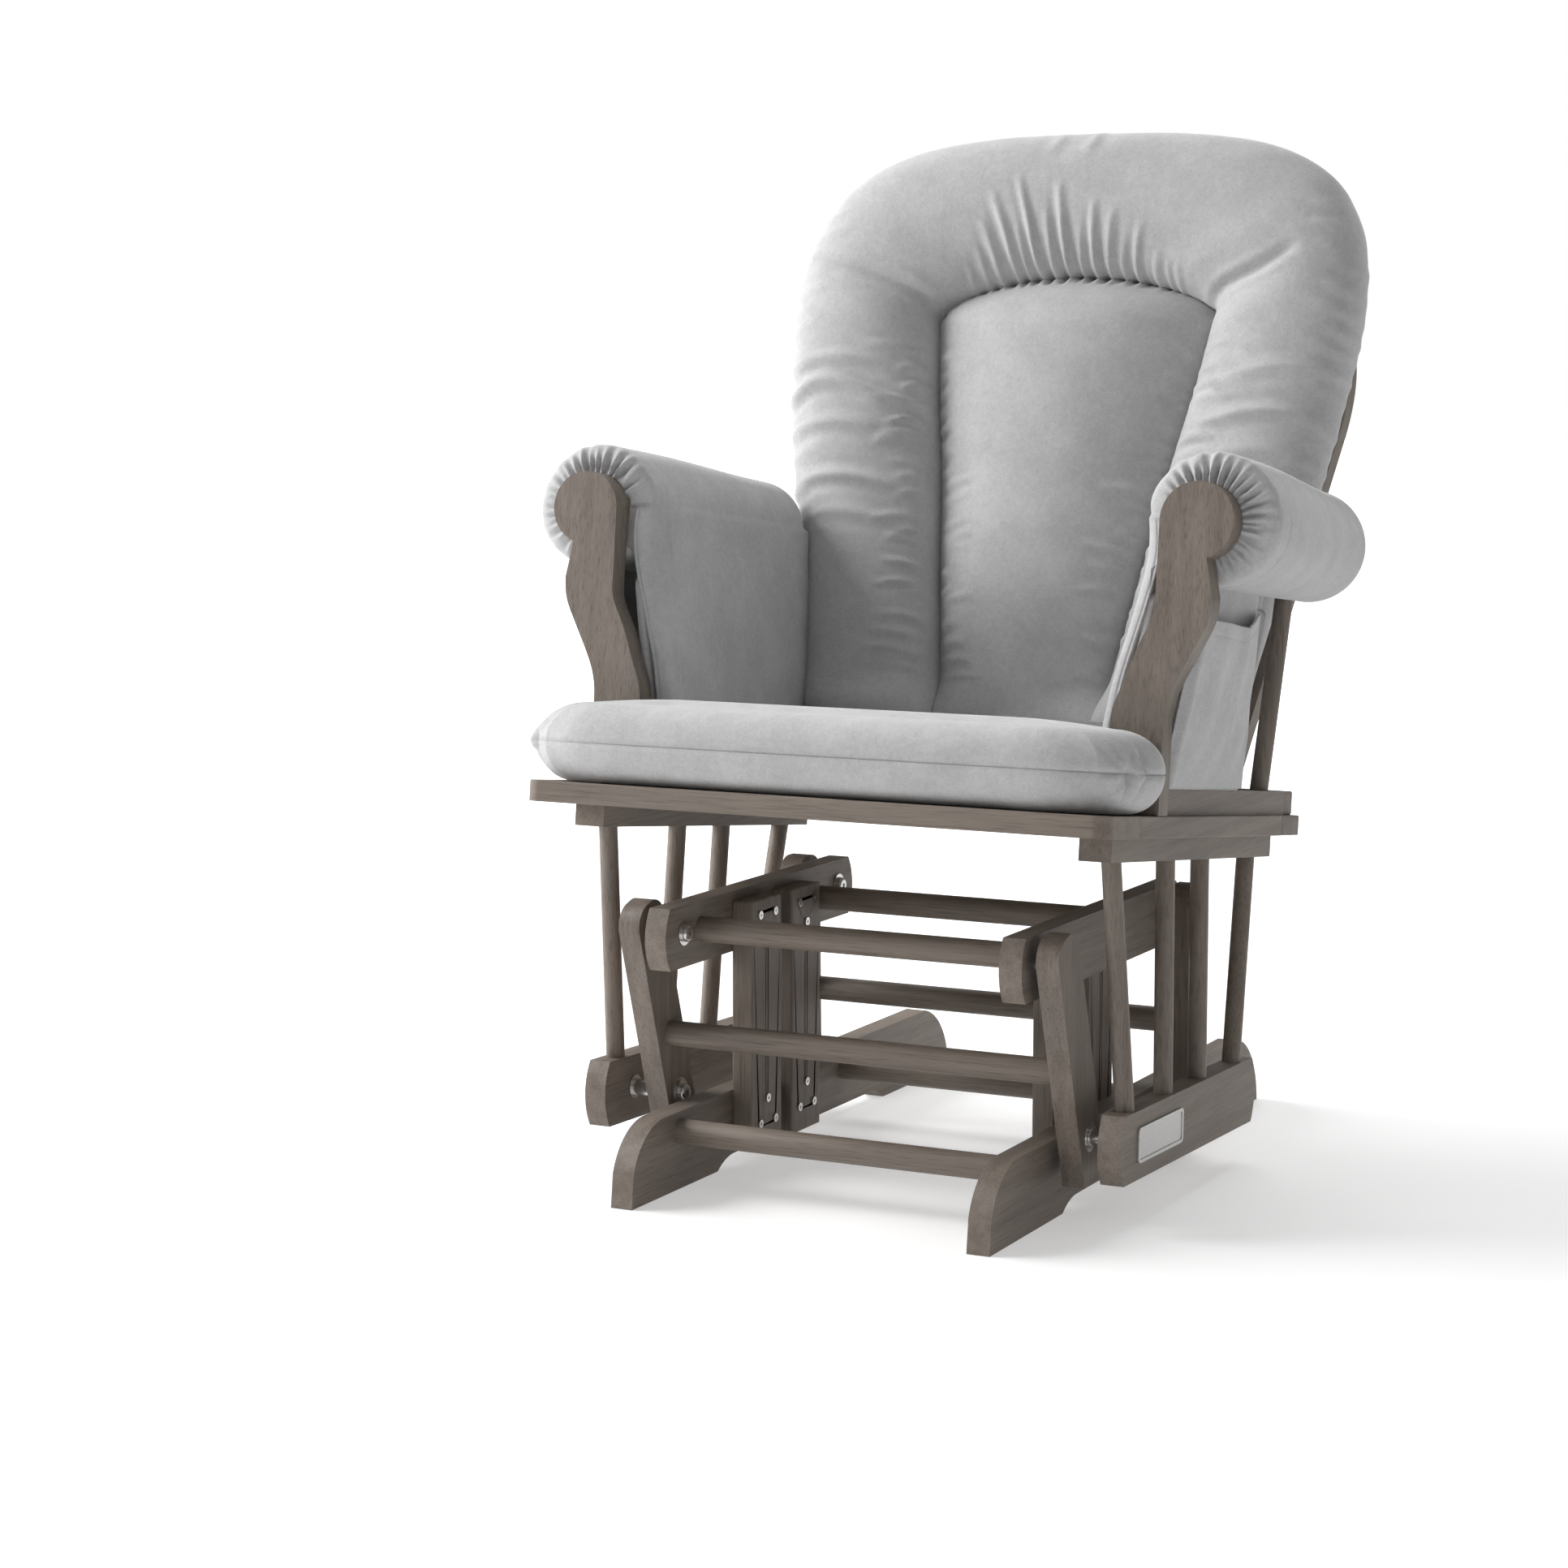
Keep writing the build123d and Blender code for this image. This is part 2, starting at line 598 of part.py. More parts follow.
def arm_pocket(side):
    """A cloth pocket, open at the top, against the outer panel's outer face."""
    start, end = POCKET_U
    low = OUTER_PANEL_N[0]
    mouth = POCKET_MOUTH_N
    far = POCKET_OUT_X
    inside = far - POCKET_CLOTH
    outside = [(279, low), (far - 4, 85), (far, mouth)]
    outline = Polyline((272, low), *outside, (292, mouth), (285.5, 120), close=True)
    hollow = Polyline((276, 56), (inside - 4, 88), (inside, mouth + 1), (284, mouth + 1), close=True)
    body = section_extrude(side, make_face(outline), start, end)
    cavity = section_extrude(side, make_face(hollow), start + POCKET_CLOTH, end - POCKET_CLOTH)
    return body - cavity


def stile_face(side):
    """A stile's face: a straight flaring lower part, then a curve in to the crest's end."""
    rise = STILE_BEND_S - STILE_FOOT_S
    bend_x = STILE_FOOT_X + STILE_SPREAD * rise
    out_low = (side * STILE_FOOT_X, STILE_FOOT_S)
    out_bend = (side * bend_x, STILE_BEND_S)
    in_low = (side * (STILE_FOOT_X - STILE_WIDTH), STILE_FOOT_S)
    in_bend = (side * (bend_x - STILE_WIDTH), STILE_BEND_S)
    out_top = (side * CREST_OUTER_END[0], CREST_OUTER_END[1])
    in_top = (side * CREST_INNER_END[0], CREST_INNER_END[1])
    flare = (side * 0.18, 1)
    edges = [
        Line(out_low, out_bend),
        Spline([out_bend, (side * 282, 420), out_top], tangents=[flare, (side * -0.45, 1)]),
        Line(out_top, in_top),
        Spline([in_top, (side * 238.5, 418), in_bend], tangents=[(side * 0.4, -1), (side * -0.18, -1)]),
        Line(in_bend, in_low),
        Line(in_low, out_low),
    ]
    return make_face(edges)


def crest_face():
    """The crest rail's face: an arch between the two stiles' tops, the same on both sides."""
    out_x, out_s = CREST_OUTER_END
    in_x, in_s = CREST_INNER_END
    edges = []
    for side in SIDES.values():
        top = [(side * out_x, out_s), (side * CREST_SHOULDER[0], CREST_SHOULDER[1]), (0, CREST_TOP_S)]
        under = [(side * in_x, in_s), (side * CREST_HOLLOW[0], CREST_HOLLOW[1]), (0, CREST_UNDERSIDE_S)]
        edges.append(Spline(top, tangents=[(side * -0.45, 1), (-side, 0)]))
        edges.append(Spline(under, tangents=[(side * -0.4, 1), (-side, 0)]))
        edges.append(Line(top[0], under[0]))
    return make_face(edges)


def back_slat(foot_x, head_x):
    """One flat slat, wider apart at the top, half as thick as the frame."""
    half = SLAT_WIDTH / 2
    low, high = SLAT_S
    foot = [(foot_x - half, low), (foot_x + half, low)]
    head = [(head_x + half, high), (head_x - half, high)]
    face = make_face(Polyline(*foot, *head, close=True))
    return extrude(back_plane(BACK_BOARD / 4) * face, BACK_BOARD / 2)


def make_back():
    """Stiles that flare upward, a curved crest, upright slats and the bottom rail."""
    rail_x = (-BASE_RAIL_X[1], BASE_RAIL_X[1])
    bottom_rail = deck_box(rail_x, BACK_RAIL_U, (DECK, DECK + BASE_RAIL_HEIGHT))
    crest = extrude(back_plane(0) * crest_face(), BACK_BOARD)
    for name, side in SIDES.items():
        stile = extrude(back_plane(0) * stile_face(side), BACK_BOARD)
        nodes["back_stile_" + name] = stile - bottom_rail
    nodes["back_crest_rail"] = crest
    nodes["back_bottom_rail"] = bottom_rail
    nodes["back_slats"] = group(back_slat(*ends) - crest - bottom_rail for ends in SLAT_X)


def seat_plan():
    """The seat cushion's outline: full width in front of the posts, narrower between the arms."""
    front_length = SEAT_SHOULDER_U - SEAT_FRONT_U
    rear_length = SEAT_REAR_U - SEAT_FRONT_U
    front = Rectangle(2 * SEAT_HALF_WIDTH, front_length)
    rear = Rectangle(2 * SEAT_REAR_HALF_WIDTH, rear_length)
    plan = Pos(0, SEAT_FRONT_U + front_length / 2) * front + Pos(0, SEAT_FRONT_U + rear_length / 2) * rear
    return fillet(plan.vertices().sort_by(Axis.Y)[:4], SEAT_CORNER)


def back_cushion_face():
    """The back cushion's outline: straight lower sides, widest at two thirds, and a round top."""
    foot = (200, BACK_CUSHION_BOTTOM_S)
    arch = [(0, BACK_CUSHION_TOP_S), (150, 624), (262, 573), (296, 494), (292, 400), (272, 290), (236, 200)]
    half = [
        Spline(arch, tangents=[(1, 0), (-0.35, -1)]),
        Line(arch[-1], foot),
        Line(foot, (0, BACK_CUSHION_BOTTOM_S)),
        Line((0, BACK_CUSHION_BOTTOM_S), arch[0]),
    ]
    face = make_face(half)
    return face + mirror(face, Plane.YZ)


def make_cushions():
    """Plain solids of the seat and back cushions, cut clear of the arms and of each other."""
    plan = seat_plan()
    seat = extrude(deck_plane(0, DECK + SOFT_GAP) * plan, SEAT_CUSHION)
    front_edges = seat.edges().filter_by(Axis.X).sort_by(Axis.Y)[:2]
    nodes["seat_cushion"] = fillet(front_edges, SEAT_FRONT_ROUND)
    cushion = extrude(back_plane(BACK_BOARD + SOFT_GAP) * back_cushion_face(), BACK_CUSHION)
    forward = Axis((0, 0, 0), back_plane(0).z_dir)
    front_rim = cushion.faces().sort_by(forward)[-1].outer_wire().edges()
    cushion = fillet(front_rim, BACK_CUSHION_ROUND)
    cushion -= [arm_roll(side, SOFT_GAP) for side in SIDES.values()]
    cushion -= extrude(deck_plane() * plan, DECK + SEAT_CUSHION + 1)
    nodes["back_cushion"] = cushion
    for name in SIDES:
        nodes["arm_inner_panel_" + name] -= cushion


def make_name_plate():
    """A blank metal plate with a raised rim, on the right lower rail."""
    plane = tilted_side_plane(LOWER_RAIL_OUT_X, *LOWER_RAIL_FRONT, LOWER_RAIL_TILT) * Pos(*PLATE_MIDDLE)
    field_size = [side - 2 * PLATE_RIM for side in PLATE]
    outline = RectangleRounded(*PLATE, PLATE_CORNER)
    field = RectangleRounded(*field_size, PLATE_CORNER - 2)
    blank = extrude(plane * outline, PLATE_THICKNESS)
    sunk = Pos(0, 0, PLATE_THICKNESS - PLATE_FIELD_DEPTH)
    nodes["name_plate"] = blank - extrude(plane * sunk * field, PLATE_THICKNESS)


def build():
    """Make every node."""
    make_base()
    make_upper_pivots()
    make_links("front", PIVOT_FRONT_TOP, FRONT_LINK_LEAN, RUNNING_CLEARANCE)
    make_links("rear", PIVOT_REAR_TOP, REAR_LINK_LEAN, OPEN_PIVOT_CLEARANCE)
    make_lower_pivots()
    make_undercarriage()
    make_deck()
    for name, side in SIDES.items():
        make_arm(name, side)
    make_back()
    make_cushions()
    make_name_plate()


build()
os.makedirs("parts", exist_ok=True)
for node, shape in nodes.items():
    export_step(Pos(0, -ORIGIN_Y, 0) * shape, f"parts/{node}.step")
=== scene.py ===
import json
import math

import bmesh
import bpy
import numpy as np
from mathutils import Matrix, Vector


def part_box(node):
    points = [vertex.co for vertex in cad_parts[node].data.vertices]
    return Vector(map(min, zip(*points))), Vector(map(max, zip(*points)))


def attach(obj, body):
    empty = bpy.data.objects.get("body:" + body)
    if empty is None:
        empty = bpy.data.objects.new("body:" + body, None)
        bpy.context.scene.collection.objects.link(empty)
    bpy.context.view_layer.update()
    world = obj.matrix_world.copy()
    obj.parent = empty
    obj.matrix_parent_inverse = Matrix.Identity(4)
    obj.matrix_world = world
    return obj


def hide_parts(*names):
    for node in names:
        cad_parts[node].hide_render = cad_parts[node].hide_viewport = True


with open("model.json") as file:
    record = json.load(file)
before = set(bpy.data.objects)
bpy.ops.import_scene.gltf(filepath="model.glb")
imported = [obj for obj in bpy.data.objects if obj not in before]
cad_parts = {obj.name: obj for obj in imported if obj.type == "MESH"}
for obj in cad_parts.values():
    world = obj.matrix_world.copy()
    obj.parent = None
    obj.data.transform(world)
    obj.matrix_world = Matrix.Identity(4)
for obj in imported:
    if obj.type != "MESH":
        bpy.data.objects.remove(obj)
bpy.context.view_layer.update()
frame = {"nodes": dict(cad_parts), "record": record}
NODES = frame["nodes"]


def link_nodes(tree, *pairs):
    """Connect (from socket, to socket) pairs in a node tree."""
    for source, target in pairs:
        tree.links.new(source, target)


def new_material(name):
    """A material with its Principled shader and object-space texture coordinates."""
    material = bpy.data.materials.new(name)
    material.use_nodes = True
    tree = material.node_tree
    return material, tree, tree.nodes["Principled BSDF"], tree.nodes.new("ShaderNodeTexCoord")


def add_node(tree, kind, **values):
    """A shader node, with its properties and its inputs set by name."""
    node = tree.nodes.new(kind)
    for key, value in values.items():
        if hasattr(node, key):
            setattr(node, key, value)
        else:
            node.inputs[key].default_value = value
    return node


def range_node(tree, low, high, **values):
    """A Map Range node from low to high."""
    node = add_node(tree, "ShaderNodeMapRange", **values)
    node.inputs["To Min"].default_value = low
    node.inputs["To Max"].default_value = high
    return node


def ramp(tree, stops):
    """A colour ramp from (position, colour) stops."""
    node = tree.nodes.new("ShaderNodeValToRGB")
    elements = node.color_ramp.elements
    while len(elements) < len(stops):
        elements.new(0.5)
    for element, (position, colour) in zip(elements, stops):
        element.position = position
        element.color = (*colour, 1)
    return node


# ---------------------------------------------------------------- materials

WOOD_DARK = (0.166, 0.134, 0.110)
WOOD_MID = (0.199, 0.165, 0.137)
WOOD_LIGHT = (0.230, 0.193, 0.161)
FABRIC_DARK = (0.44, 0.44, 0.445)
FABRIC_LIGHT = (0.56, 0.56, 0.565)
WOOD_STRETCH = 0.032
WOOD_WANDER = 0.022
WOOD_ROUGHNESS = (0.44, 0.6)
NAP_SHARES = (0.32, 0.24, 0.44)
BOARD_EASE = 0.0016
PLATE_EASE = 0.0005
WELD_DISTANCE = 0.00002
EASE_ANGLE = 38
GRAIN_TURN = {"x": (0, math.pi / 2, 0), "y": (math.pi / 2, 0, 0), "z": (0, 0, 0)}


def wood_material(axis):
    """Grey-brown stained hardwood, its fine grain and dark pores running along one axis."""
    material, tree, shader, coords = new_material("wood_" + axis)
    turn = add_node(tree, "ShaderNodeMapping")
    turn.inputs["Rotation"].default_value = GRAIN_TURN[axis]
    stretch = add_node(tree, "ShaderNodeMapping")
    stretch.inputs["Scale"].default_value = (1, 1, WOOD_STRETCH)
    wander = add_node(tree, "ShaderNodeTexNoise", Scale=7.0, Detail=2.0)
    figure = add_node(tree, "ShaderNodeTexNoise", Scale=85.0, Detail=4.0, Roughness=0.6)
    pore = add_node(tree, "ShaderNodeTexNoise", Scale=820.0, Detail=2.0, Roughness=0.6)
    cloud = add_node(tree, "ShaderNodeTexNoise", Scale=9.0, Detail=3.0)
    shift = add_node(tree, "ShaderNodeVectorMath", operation="MULTIPLY_ADD")
    shift.inputs[1].default_value = (WOOD_WANDER, WOOD_WANDER, 0.0)
    link_nodes(
        tree,
        (coords.outputs["Object"], turn.inputs["Vector"]),
        (turn.outputs["Vector"], stretch.inputs["Vector"]),
        (turn.outputs["Vector"], cloud.inputs["Vector"]),
        (stretch.outputs["Vector"], wander.inputs["Vector"]),
        (wander.outputs["Color"], shift.inputs[0]),
        (stretch.outputs["Vector"], shift.inputs[2]),
        (shift.outputs["Vector"], figure.inputs["Vector"]),
        (shift.outputs["Vector"], pore.inputs["Vector"]),
    )
    colour = ramp(tree, [(0.34, WOOD_DARK), (0.5, WOOD_MID), (0.66, WOOD_LIGHT)])
    streak_stops = [(0.34, (0.7, 0.69, 0.68)), (0.46, (0.97, 0.97, 0.97)), (0.7, (1.05, 1.05, 1.05))]
    streak = ramp(tree, streak_stops)
    patch = ramp(tree, [(0.32, (0.93, 0.93, 0.94)), (0.68, (1.06, 1.055, 1.045))])
    grained = add_node(tree, "ShaderNodeMix", data_type="RGBA", blend_type="MULTIPLY")
    grained.inputs["Factor"].default_value = 1.0
    tint = add_node(tree, "ShaderNodeMix", data_type="RGBA", blend_type="MULTIPLY")
    tint.inputs["Factor"].default_value = 1.0
    rough = range_node(tree, *WOOD_ROUGHNESS)
    bump = add_node(tree, "ShaderNodeBump", Strength=0.25, Distance=0.0004)
    link_nodes(
        tree,
        (figure.outputs["Fac"], colour.inputs["Fac"]),
        (pore.outputs["Fac"], streak.inputs["Fac"]),
        (cloud.outputs["Fac"], patch.inputs["Fac"]),
        (colour.outputs["Color"], grained.inputs["A"]),
        (streak.outputs["Color"], grained.inputs["B"]),
        (grained.outputs["Result"], tint.inputs["A"]),
        (patch.outputs["Color"], tint.inputs["B"]),
        (tint.outputs["Result"], shader.inputs["Base Color"]),
        (pore.outputs["Fac"], rough.inputs["Value"]),
        (rough.outputs["Result"], shader.inputs["Roughness"]),
        (pore.outputs["Fac"], bump.inputs["Height"]),
        (bump.outputs["Normal"], shader.inputs["Normal"]),
    )
    return material


def fabric_material(name, dark, light):
    """Brushed microfibre: a fine suede grain, faint broad mottling of the nap, and a soft sheen."""
    material, tree, shader, coords = new_material(name)
    mottle = add_node(tree, "ShaderNodeTexNoise", Scale=24.0, Detail=5.0, Roughness=0.6)
    brush = add_node(tree, "ShaderNodeTexNoise", Scale=170.0, Detail=3.0, Roughness=0.6, Distortion=0.4)
    grain = add_node(tree, "ShaderNodeTexNoise", Scale=620.0, Detail=3.0, Roughness=0.75)
    for texture in (mottle, brush, grain):
        link_nodes(tree, (coords.outputs["Object"], texture.inputs["Vector"]))
    tones = []
    for texture, share in zip((mottle, brush, grain), NAP_SHARES):
        tone = add_node(tree, "ShaderNodeMath", operation="MULTIPLY_ADD")
        tone.inputs[1].default_value = share
        tone.inputs[2].default_value = 0.0
        link_nodes(tree, (texture.outputs["Fac"], tone.inputs[0]))
        if tones:
            link_nodes(tree, (tones[-1].outputs[0], tone.inputs[2]))
        tones.append(tone)
    colour = ramp(tree, [(0.4, dark), (0.6, light)])
    soft = add_node(tree, "ShaderNodeBump", Strength=0.3, Distance=0.0012)
    bump = add_node(tree, "ShaderNodeBump", Strength=0.45, Distance=0.0005)
    link_nodes(
        tree,
        (tones[-1].outputs[0], colour.inputs["Fac"]),
        (colour.outputs["Color"], shader.inputs["Base Color"]),
        (brush.outputs["Fac"], soft.inputs["Height"]),
        (grain.outputs["Fac"], bump.inputs["Height"]),
        (soft.outputs["Normal"], bump.inputs["Normal"]),
        (bump.outputs["Normal"], shader.inputs["Normal"]),
    )
    shader.inputs["Roughness"].default_value = 0.95
    shader.inputs["Specular IOR Level"].default_value = 0.1
    shader.inputs["Sheen Weight"].default_value = 0.5
    shader.inputs["Sheen Roughness"].default_value = 0.4
    return material


def metal_material(name, colour, roughness, scale):
    """Plated metal with faint wear and smudges in its polish."""
    material, tree, shader, coords = new_material(name)
    smudge = add_node(tree, "ShaderNodeTexNoise", Scale=scale, Detail=4.0)
    rough = range_node(tree, roughness * 0.7, roughness * 1.4)
    tone = ramp(tree, [(0.3, tuple(0.8 * c for c in colour)), (0.7, colour)])
    link_nodes(
        tree,
        (coords.outputs["Object"], smudge.inputs["Vector"]),
        (smudge.outputs["Fac"], rough.inputs["Value"]),
        (smudge.outputs["Fac"], tone.inputs["Fac"]),
        (tone.outputs["Color"], shader.inputs["Base Color"]),
        (rough.outputs["Result"], shader.inputs["Roughness"]),
    )
    shader.inputs["Metallic"].default_value = 1.0
    return material


WOOD = {axis: wood_material(axis) for axis in GRAIN_TURN}
FABRIC = fabric_material("microfibre", FABRIC_DARK, FABRIC_LIGHT)
NICKEL = metal_material("nickel", (0.72, 0.71, 0.70), 0.2, 240.0)
PEWTER = metal_material("pewter", (0.62, 0.61, 0.60), 0.34, 420.0)

GRAIN = {
    "foot_rail": "y", "top_rail": "y", "lower_rail": "y", "support_block": "y", "deck_side_board": "y",
    "arm_base_rail": "y", "arm_top_rail": "y", "inner_posts": "z", "arm_post": "z", "arm_spindles": "z",
    "support_spindles": "z", "front_link_left": "z", "front_link_right": "z", "rear_link_left": "z",
    "rear_link_right": "z", "back_stile": "z", "back_slats": "z",
}


def grain_axis(node):
    """The axis that a wooden node's grain follows; stretchers and cross boards run along X."""
    for prefix, axis in GRAIN.items():
        if node.startswith(prefix):
            return axis
    return "x"


def dress_cad_nodes():
    """Give every CAD node its material and ease the edges of the wooden ones."""
    slots = {row["node"]: row["material_slot"] for row in frame["record"]["subparts"]}
    for name, node in NODES.items():
        material = {"hardware": NICKEL, "plate": PEWTER, "fabric": FABRIC}.get(slots[name])
        if material is None:
            material = WOOD[grain_axis(name)]
            ease_edges(node, BOARD_EASE)
        elif slots[name] == "plate":
            ease_edges(node, PLATE_EASE)
        node.data.materials.clear()
        node.data.materials.append(material)


def ease_edges(node, width):
    """Round a CAD node's sharp edges with modifiers; its mesh stays as it came."""
    weld = node.modifiers.new("weld", "WELD")
    weld.merge_threshold = WELD_DISTANCE
    bevel = node.modifiers.new("eased", "BEVEL")
    bevel.width = width
    bevel.segments = 2
    bevel.limit_method = "ANGLE"
    bevel.angle_limit = math.radians(EASE_ANGLE)
    bevel.harden_normals = False
    normals = node.modifiers.new("normals", "WEIGHTED_NORMAL")
    normals.keep_sharp = False


# ---------------------------------------------------------------- stage

CAMERA_PLACE = (1.2551, -2.8455, 0.7358)
CAMERA_YAW = 26.89
CAMERA_PITCH = 7.132
CAMERA_LENS = 76.79
CAMERA_SENSOR = 36.0
WORLD_LOW = 0.23
WORLD_HIGH = 0.28
FLOOR_GLOW = 0.28
FLOOR_SEEN_NEAR = 0.12
FLOOR_FADE = (0.6, 4.5)
FLOOR_SIZE = 60
AIM = (0, 0, 0.5)
LIGHT_REACH = 6.0
LIGHT_SIZE = 4.2
LIGHTS = {
    "left_light": (76, 27, 520),
    "rear_top_light": (170, 58, 150),
    "rear_right_light": (-110, 30, 20),
}


def make_camera():
    """The camera at the reference viewpoint, in front and to the right of the chair."""
    data = bpy.data.cameras.new("camera")
    data.lens = CAMERA_LENS
    data.sensor_width = CAMERA_SENSOR
    camera = bpy.data.objects.new("camera", data)
    camera.location = CAMERA_PLACE
    camera.rotation_euler = (math.radians(90 - CAMERA_PITCH), 0, math.radians(CAMERA_YAW))
    bpy.context.scene.collection.objects.link(camera)
    bpy.context.scene.camera = camera


def area_light(name, place, power):
    """A square soft light aimed at the middle of the chair."""
    data = bpy.data.lights.new(name, "AREA")
    data.shape = "SQUARE"
    data.size = LIGHT_SIZE
    data.energy = power
    light = bpy.data.objects.new(name, data)
    light.location = place
    aim = Vector(AIM) - Vector(place)
    light.rotation_euler = aim.to_track_quat("-Z", "Y").to_euler()
    bpy.context.scene.collection.objects.link(light)


def make_world():
    """A surround that is white to the camera and lights the chair a little more from above."""
    world = bpy.data.worlds.new("studio")
    bpy.context.scene.world = world
    world.use_nodes = True
    tree = world.node_tree
    tree.nodes.clear()
    coords = tree.nodes.new("ShaderNodeTexCoord")
    split = tree.nodes.new("ShaderNodeSeparateXYZ")
    level = range_node(tree, WORLD_LOW, WORLD_HIGH)
    level.inputs["From Min"].default_value = -0.2
    level.inputs["From Max"].default_value = 1.0
    light = add_node(tree, "ShaderNodeBackground")
    seen = add_node(tree, "ShaderNodeBackground")
    ray = tree.nodes.new("ShaderNodeLightPath")
    mix = tree.nodes.new("ShaderNodeMixShader")
    out = tree.nodes.new("ShaderNodeOutputWorld")
    light.inputs["Color"].default_value = (1, 1, 1, 1)
    seen.inputs["Color"].default_value = (1, 1, 1, 1)
    link_nodes(
        tree,
        (coords.outputs["Generated"], split.inputs["Vector"]),
        (split.outputs["Z"], level.inputs["Value"]),
        (level.outputs["Result"], light.inputs["Strength"]),
        (ray.outputs["Is Camera Ray"], mix.inputs["Fac"]),
        (light.outputs["Background"], mix.inputs[1]),
        (seen.outputs["Background"], mix.inputs[2]),
        (mix.outputs["Shader"], out.inputs["Surface"]),
    )


def make_floor():
    """A pale floor that looks whiter to the camera with distance, so that no horizon shows."""
    bpy.ops.mesh.primitive_plane_add(size=FLOOR_SIZE, location=(0, 0, 0))
    floor = bpy.context.object
    floor.name = "floor"
    material, tree, shader, coords = new_material("floor_white")
    grain = add_node(tree, "ShaderNodeTexNoise", Scale=3.0, Detail=2.0)
    tone = ramp(tree, [(0.3, (0.78, 0.78, 0.78)), (0.7, (0.8, 0.8, 0.8))])
    link_nodes(
        tree,
        (coords.outputs["Object"], grain.inputs["Vector"]),
        (grain.outputs["Fac"], tone.inputs["Fac"]),
        (tone.outputs["Color"], shader.inputs["Base Color"]),
    )
    shader.inputs["Roughness"].default_value = 0.9
    away = add_node(tree, "ShaderNodeVectorMath", operation="LENGTH")
    far = range_node(tree, FLOOR_SEEN_NEAR, 1.0, interpolation_type="SMOOTHSTEP")
    far.inputs["From Min"].default_value, far.inputs["From Max"].default_value = FLOOR_FADE
    ray = tree.nodes.new("ShaderNodeLightPath")
    glow = add_node(tree, "ShaderNodeMath", operation="MULTIPLY_ADD")
    glow.inputs[2].default_value = FLOOR_GLOW
    link_nodes(
        tree,
        (coords.outputs["Object"], away.inputs[0]),
        (away.outputs["Value"], far.inputs["Value"]),
        (ray.outputs["Is Camera Ray"], glow.inputs[0]),
        (far.outputs["Result"], glow.inputs[1]),
        (glow.outputs[0], shader.inputs["Emission Strength"]),
    )
    shader.inputs["Emission Color"].default_value = (1, 1, 1, 1)
    floor.data.materials.append(material)


def make_lights():
    """Soft square lights; each turns from the front towards the left and rises above level."""
    for name, (turn, rise, power) in LIGHTS.items():
        around, up = math.radians(turn), math.radians(rise)
        level = math.cos(up) * LIGHT_REACH
        height = AIM[2] + LIGHT_REACH * math.sin(up)
        area_light(name, (-level * math.sin(around), -level * math.cos(around), height), power)


def make_stage():
    """The surround, the floor and the lights."""
    make_world()
    bpy.context.scene.view_settings.view_transform = "Standard"
    make_floor()
    make_lights()


# ---------------------------------------------------------------- soft goods
# Cushions and pads are worked out in millimetres in the frames of the deck and the back,
# and turned into metres in the model's frame at the end.

MM = 0.001
DECK_TILT = math.radians(6.7)
BACK_LEAN = math.radians(19.0)
DECK_BOARD = 18.7
BACK_FOOT = (154.5, 330.0)
STROKE_STEPS = 14
STROKE_REACH = 3.2
FLANK = 0.35
MERGE_DISTANCE = 0.00005
SLIVER = 0.00002


def deck_front():
    """(Y, Z) in mm of the front lower edge of the deck, read from its front board."""
    low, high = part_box("deck_front_board")
    return low[1] / MM, high[2] / MM - DECK_BOARD * math.cos(DECK_TILT)


DECK_Y, DECK_Z = deck_front()


def deck_point(x, u, n):
    """Points across (x), back along (u) and above (n) the deck, as metres in the model's frame."""
    y = DECK_Y + u * math.cos(DECK_TILT) + n * math.sin(DECK_TILT)
    z = DECK_Z - u * math.sin(DECK_TILT) + n * math.cos(DECK_TILT)
    return np.stack(np.broadcast_arrays(x, y, z), -1) * MM


def back_point(x, s, depth):
    """Points across (x) and up (s) the back, depth forward of its frame's rear face, as metres."""
    y = BACK_FOOT[0] + s * math.sin(BACK_LEAN) - depth * math.cos(BACK_LEAN)
    z = BACK_FOOT[1] + s * math.cos(BACK_LEAN) + depth * math.sin(BACK_LEAN)
    return np.stack(np.broadcast_arrays(x, y, z), -1) * MM


def smooth_step(low, high, value):
    """0 below low, 1 above high, smooth between."""
    t = np.clip((value - low) / (high - low), 0, 1)
    return t * t * (3 - 2 * t)


def curve_through(points, count):
    """count points, evenly spaced, on a Catmull-Rom curve through the given ones."""
    points = np.asarray(points, float)
    ends = [2 * points[0] - points[1], *points, 2 * points[-1] - points[-2]]
    fine = []
    for a, b, c, d in zip(ends, ends[1:], ends[2:], ends[3:]):
        t = np.linspace(0, 1, 40, endpoint=False)[:, None]
        bend = 2 * b + (c - a) * t + (2 * a - 5 * b + 4 * c - d) * t**2 + (3 * b - a - 3 * c + d) * t**3
        fine.append(bend / 2)
    fine = np.vstack([*fine, points[-1:]])
    run = np.concatenate([[0], np.cumsum(np.linalg.norm(np.diff(fine, axis=0), axis=1))])
    even = np.linspace(0, run[-1], count)
    return np.stack([np.interp(even, run, fine[:, k]) for k in range(fine.shape[1])], -1)


def half_loop(parts):
    """A symmetric loop from its right half: (points, count) for each stretch, going up."""
    right = np.vstack([curve_through(points, count + 1)[:-1] for points, count in parts])
    top = np.asarray(parts[-1][0][-1:], float)
    left = right[1:][::-1] * [-1, 1]
    return np.vstack([right, top, left])


def unit_rows(vectors):
    """Each row of vectors at unit length."""
    return vectors / np.maximum(np.linalg.norm(vectors, axis=1, keepdims=True), 1e-9)


def level_row(points, height):
    """A row of points that all lie at one height."""
    return points, np.full(len(points), height)


def split_rows(rows):
    """An array of the points and an array of the heights from rows of (points, heights)."""
    return np.array([points for points, height in rows]), np.array([height for points, height in rows])


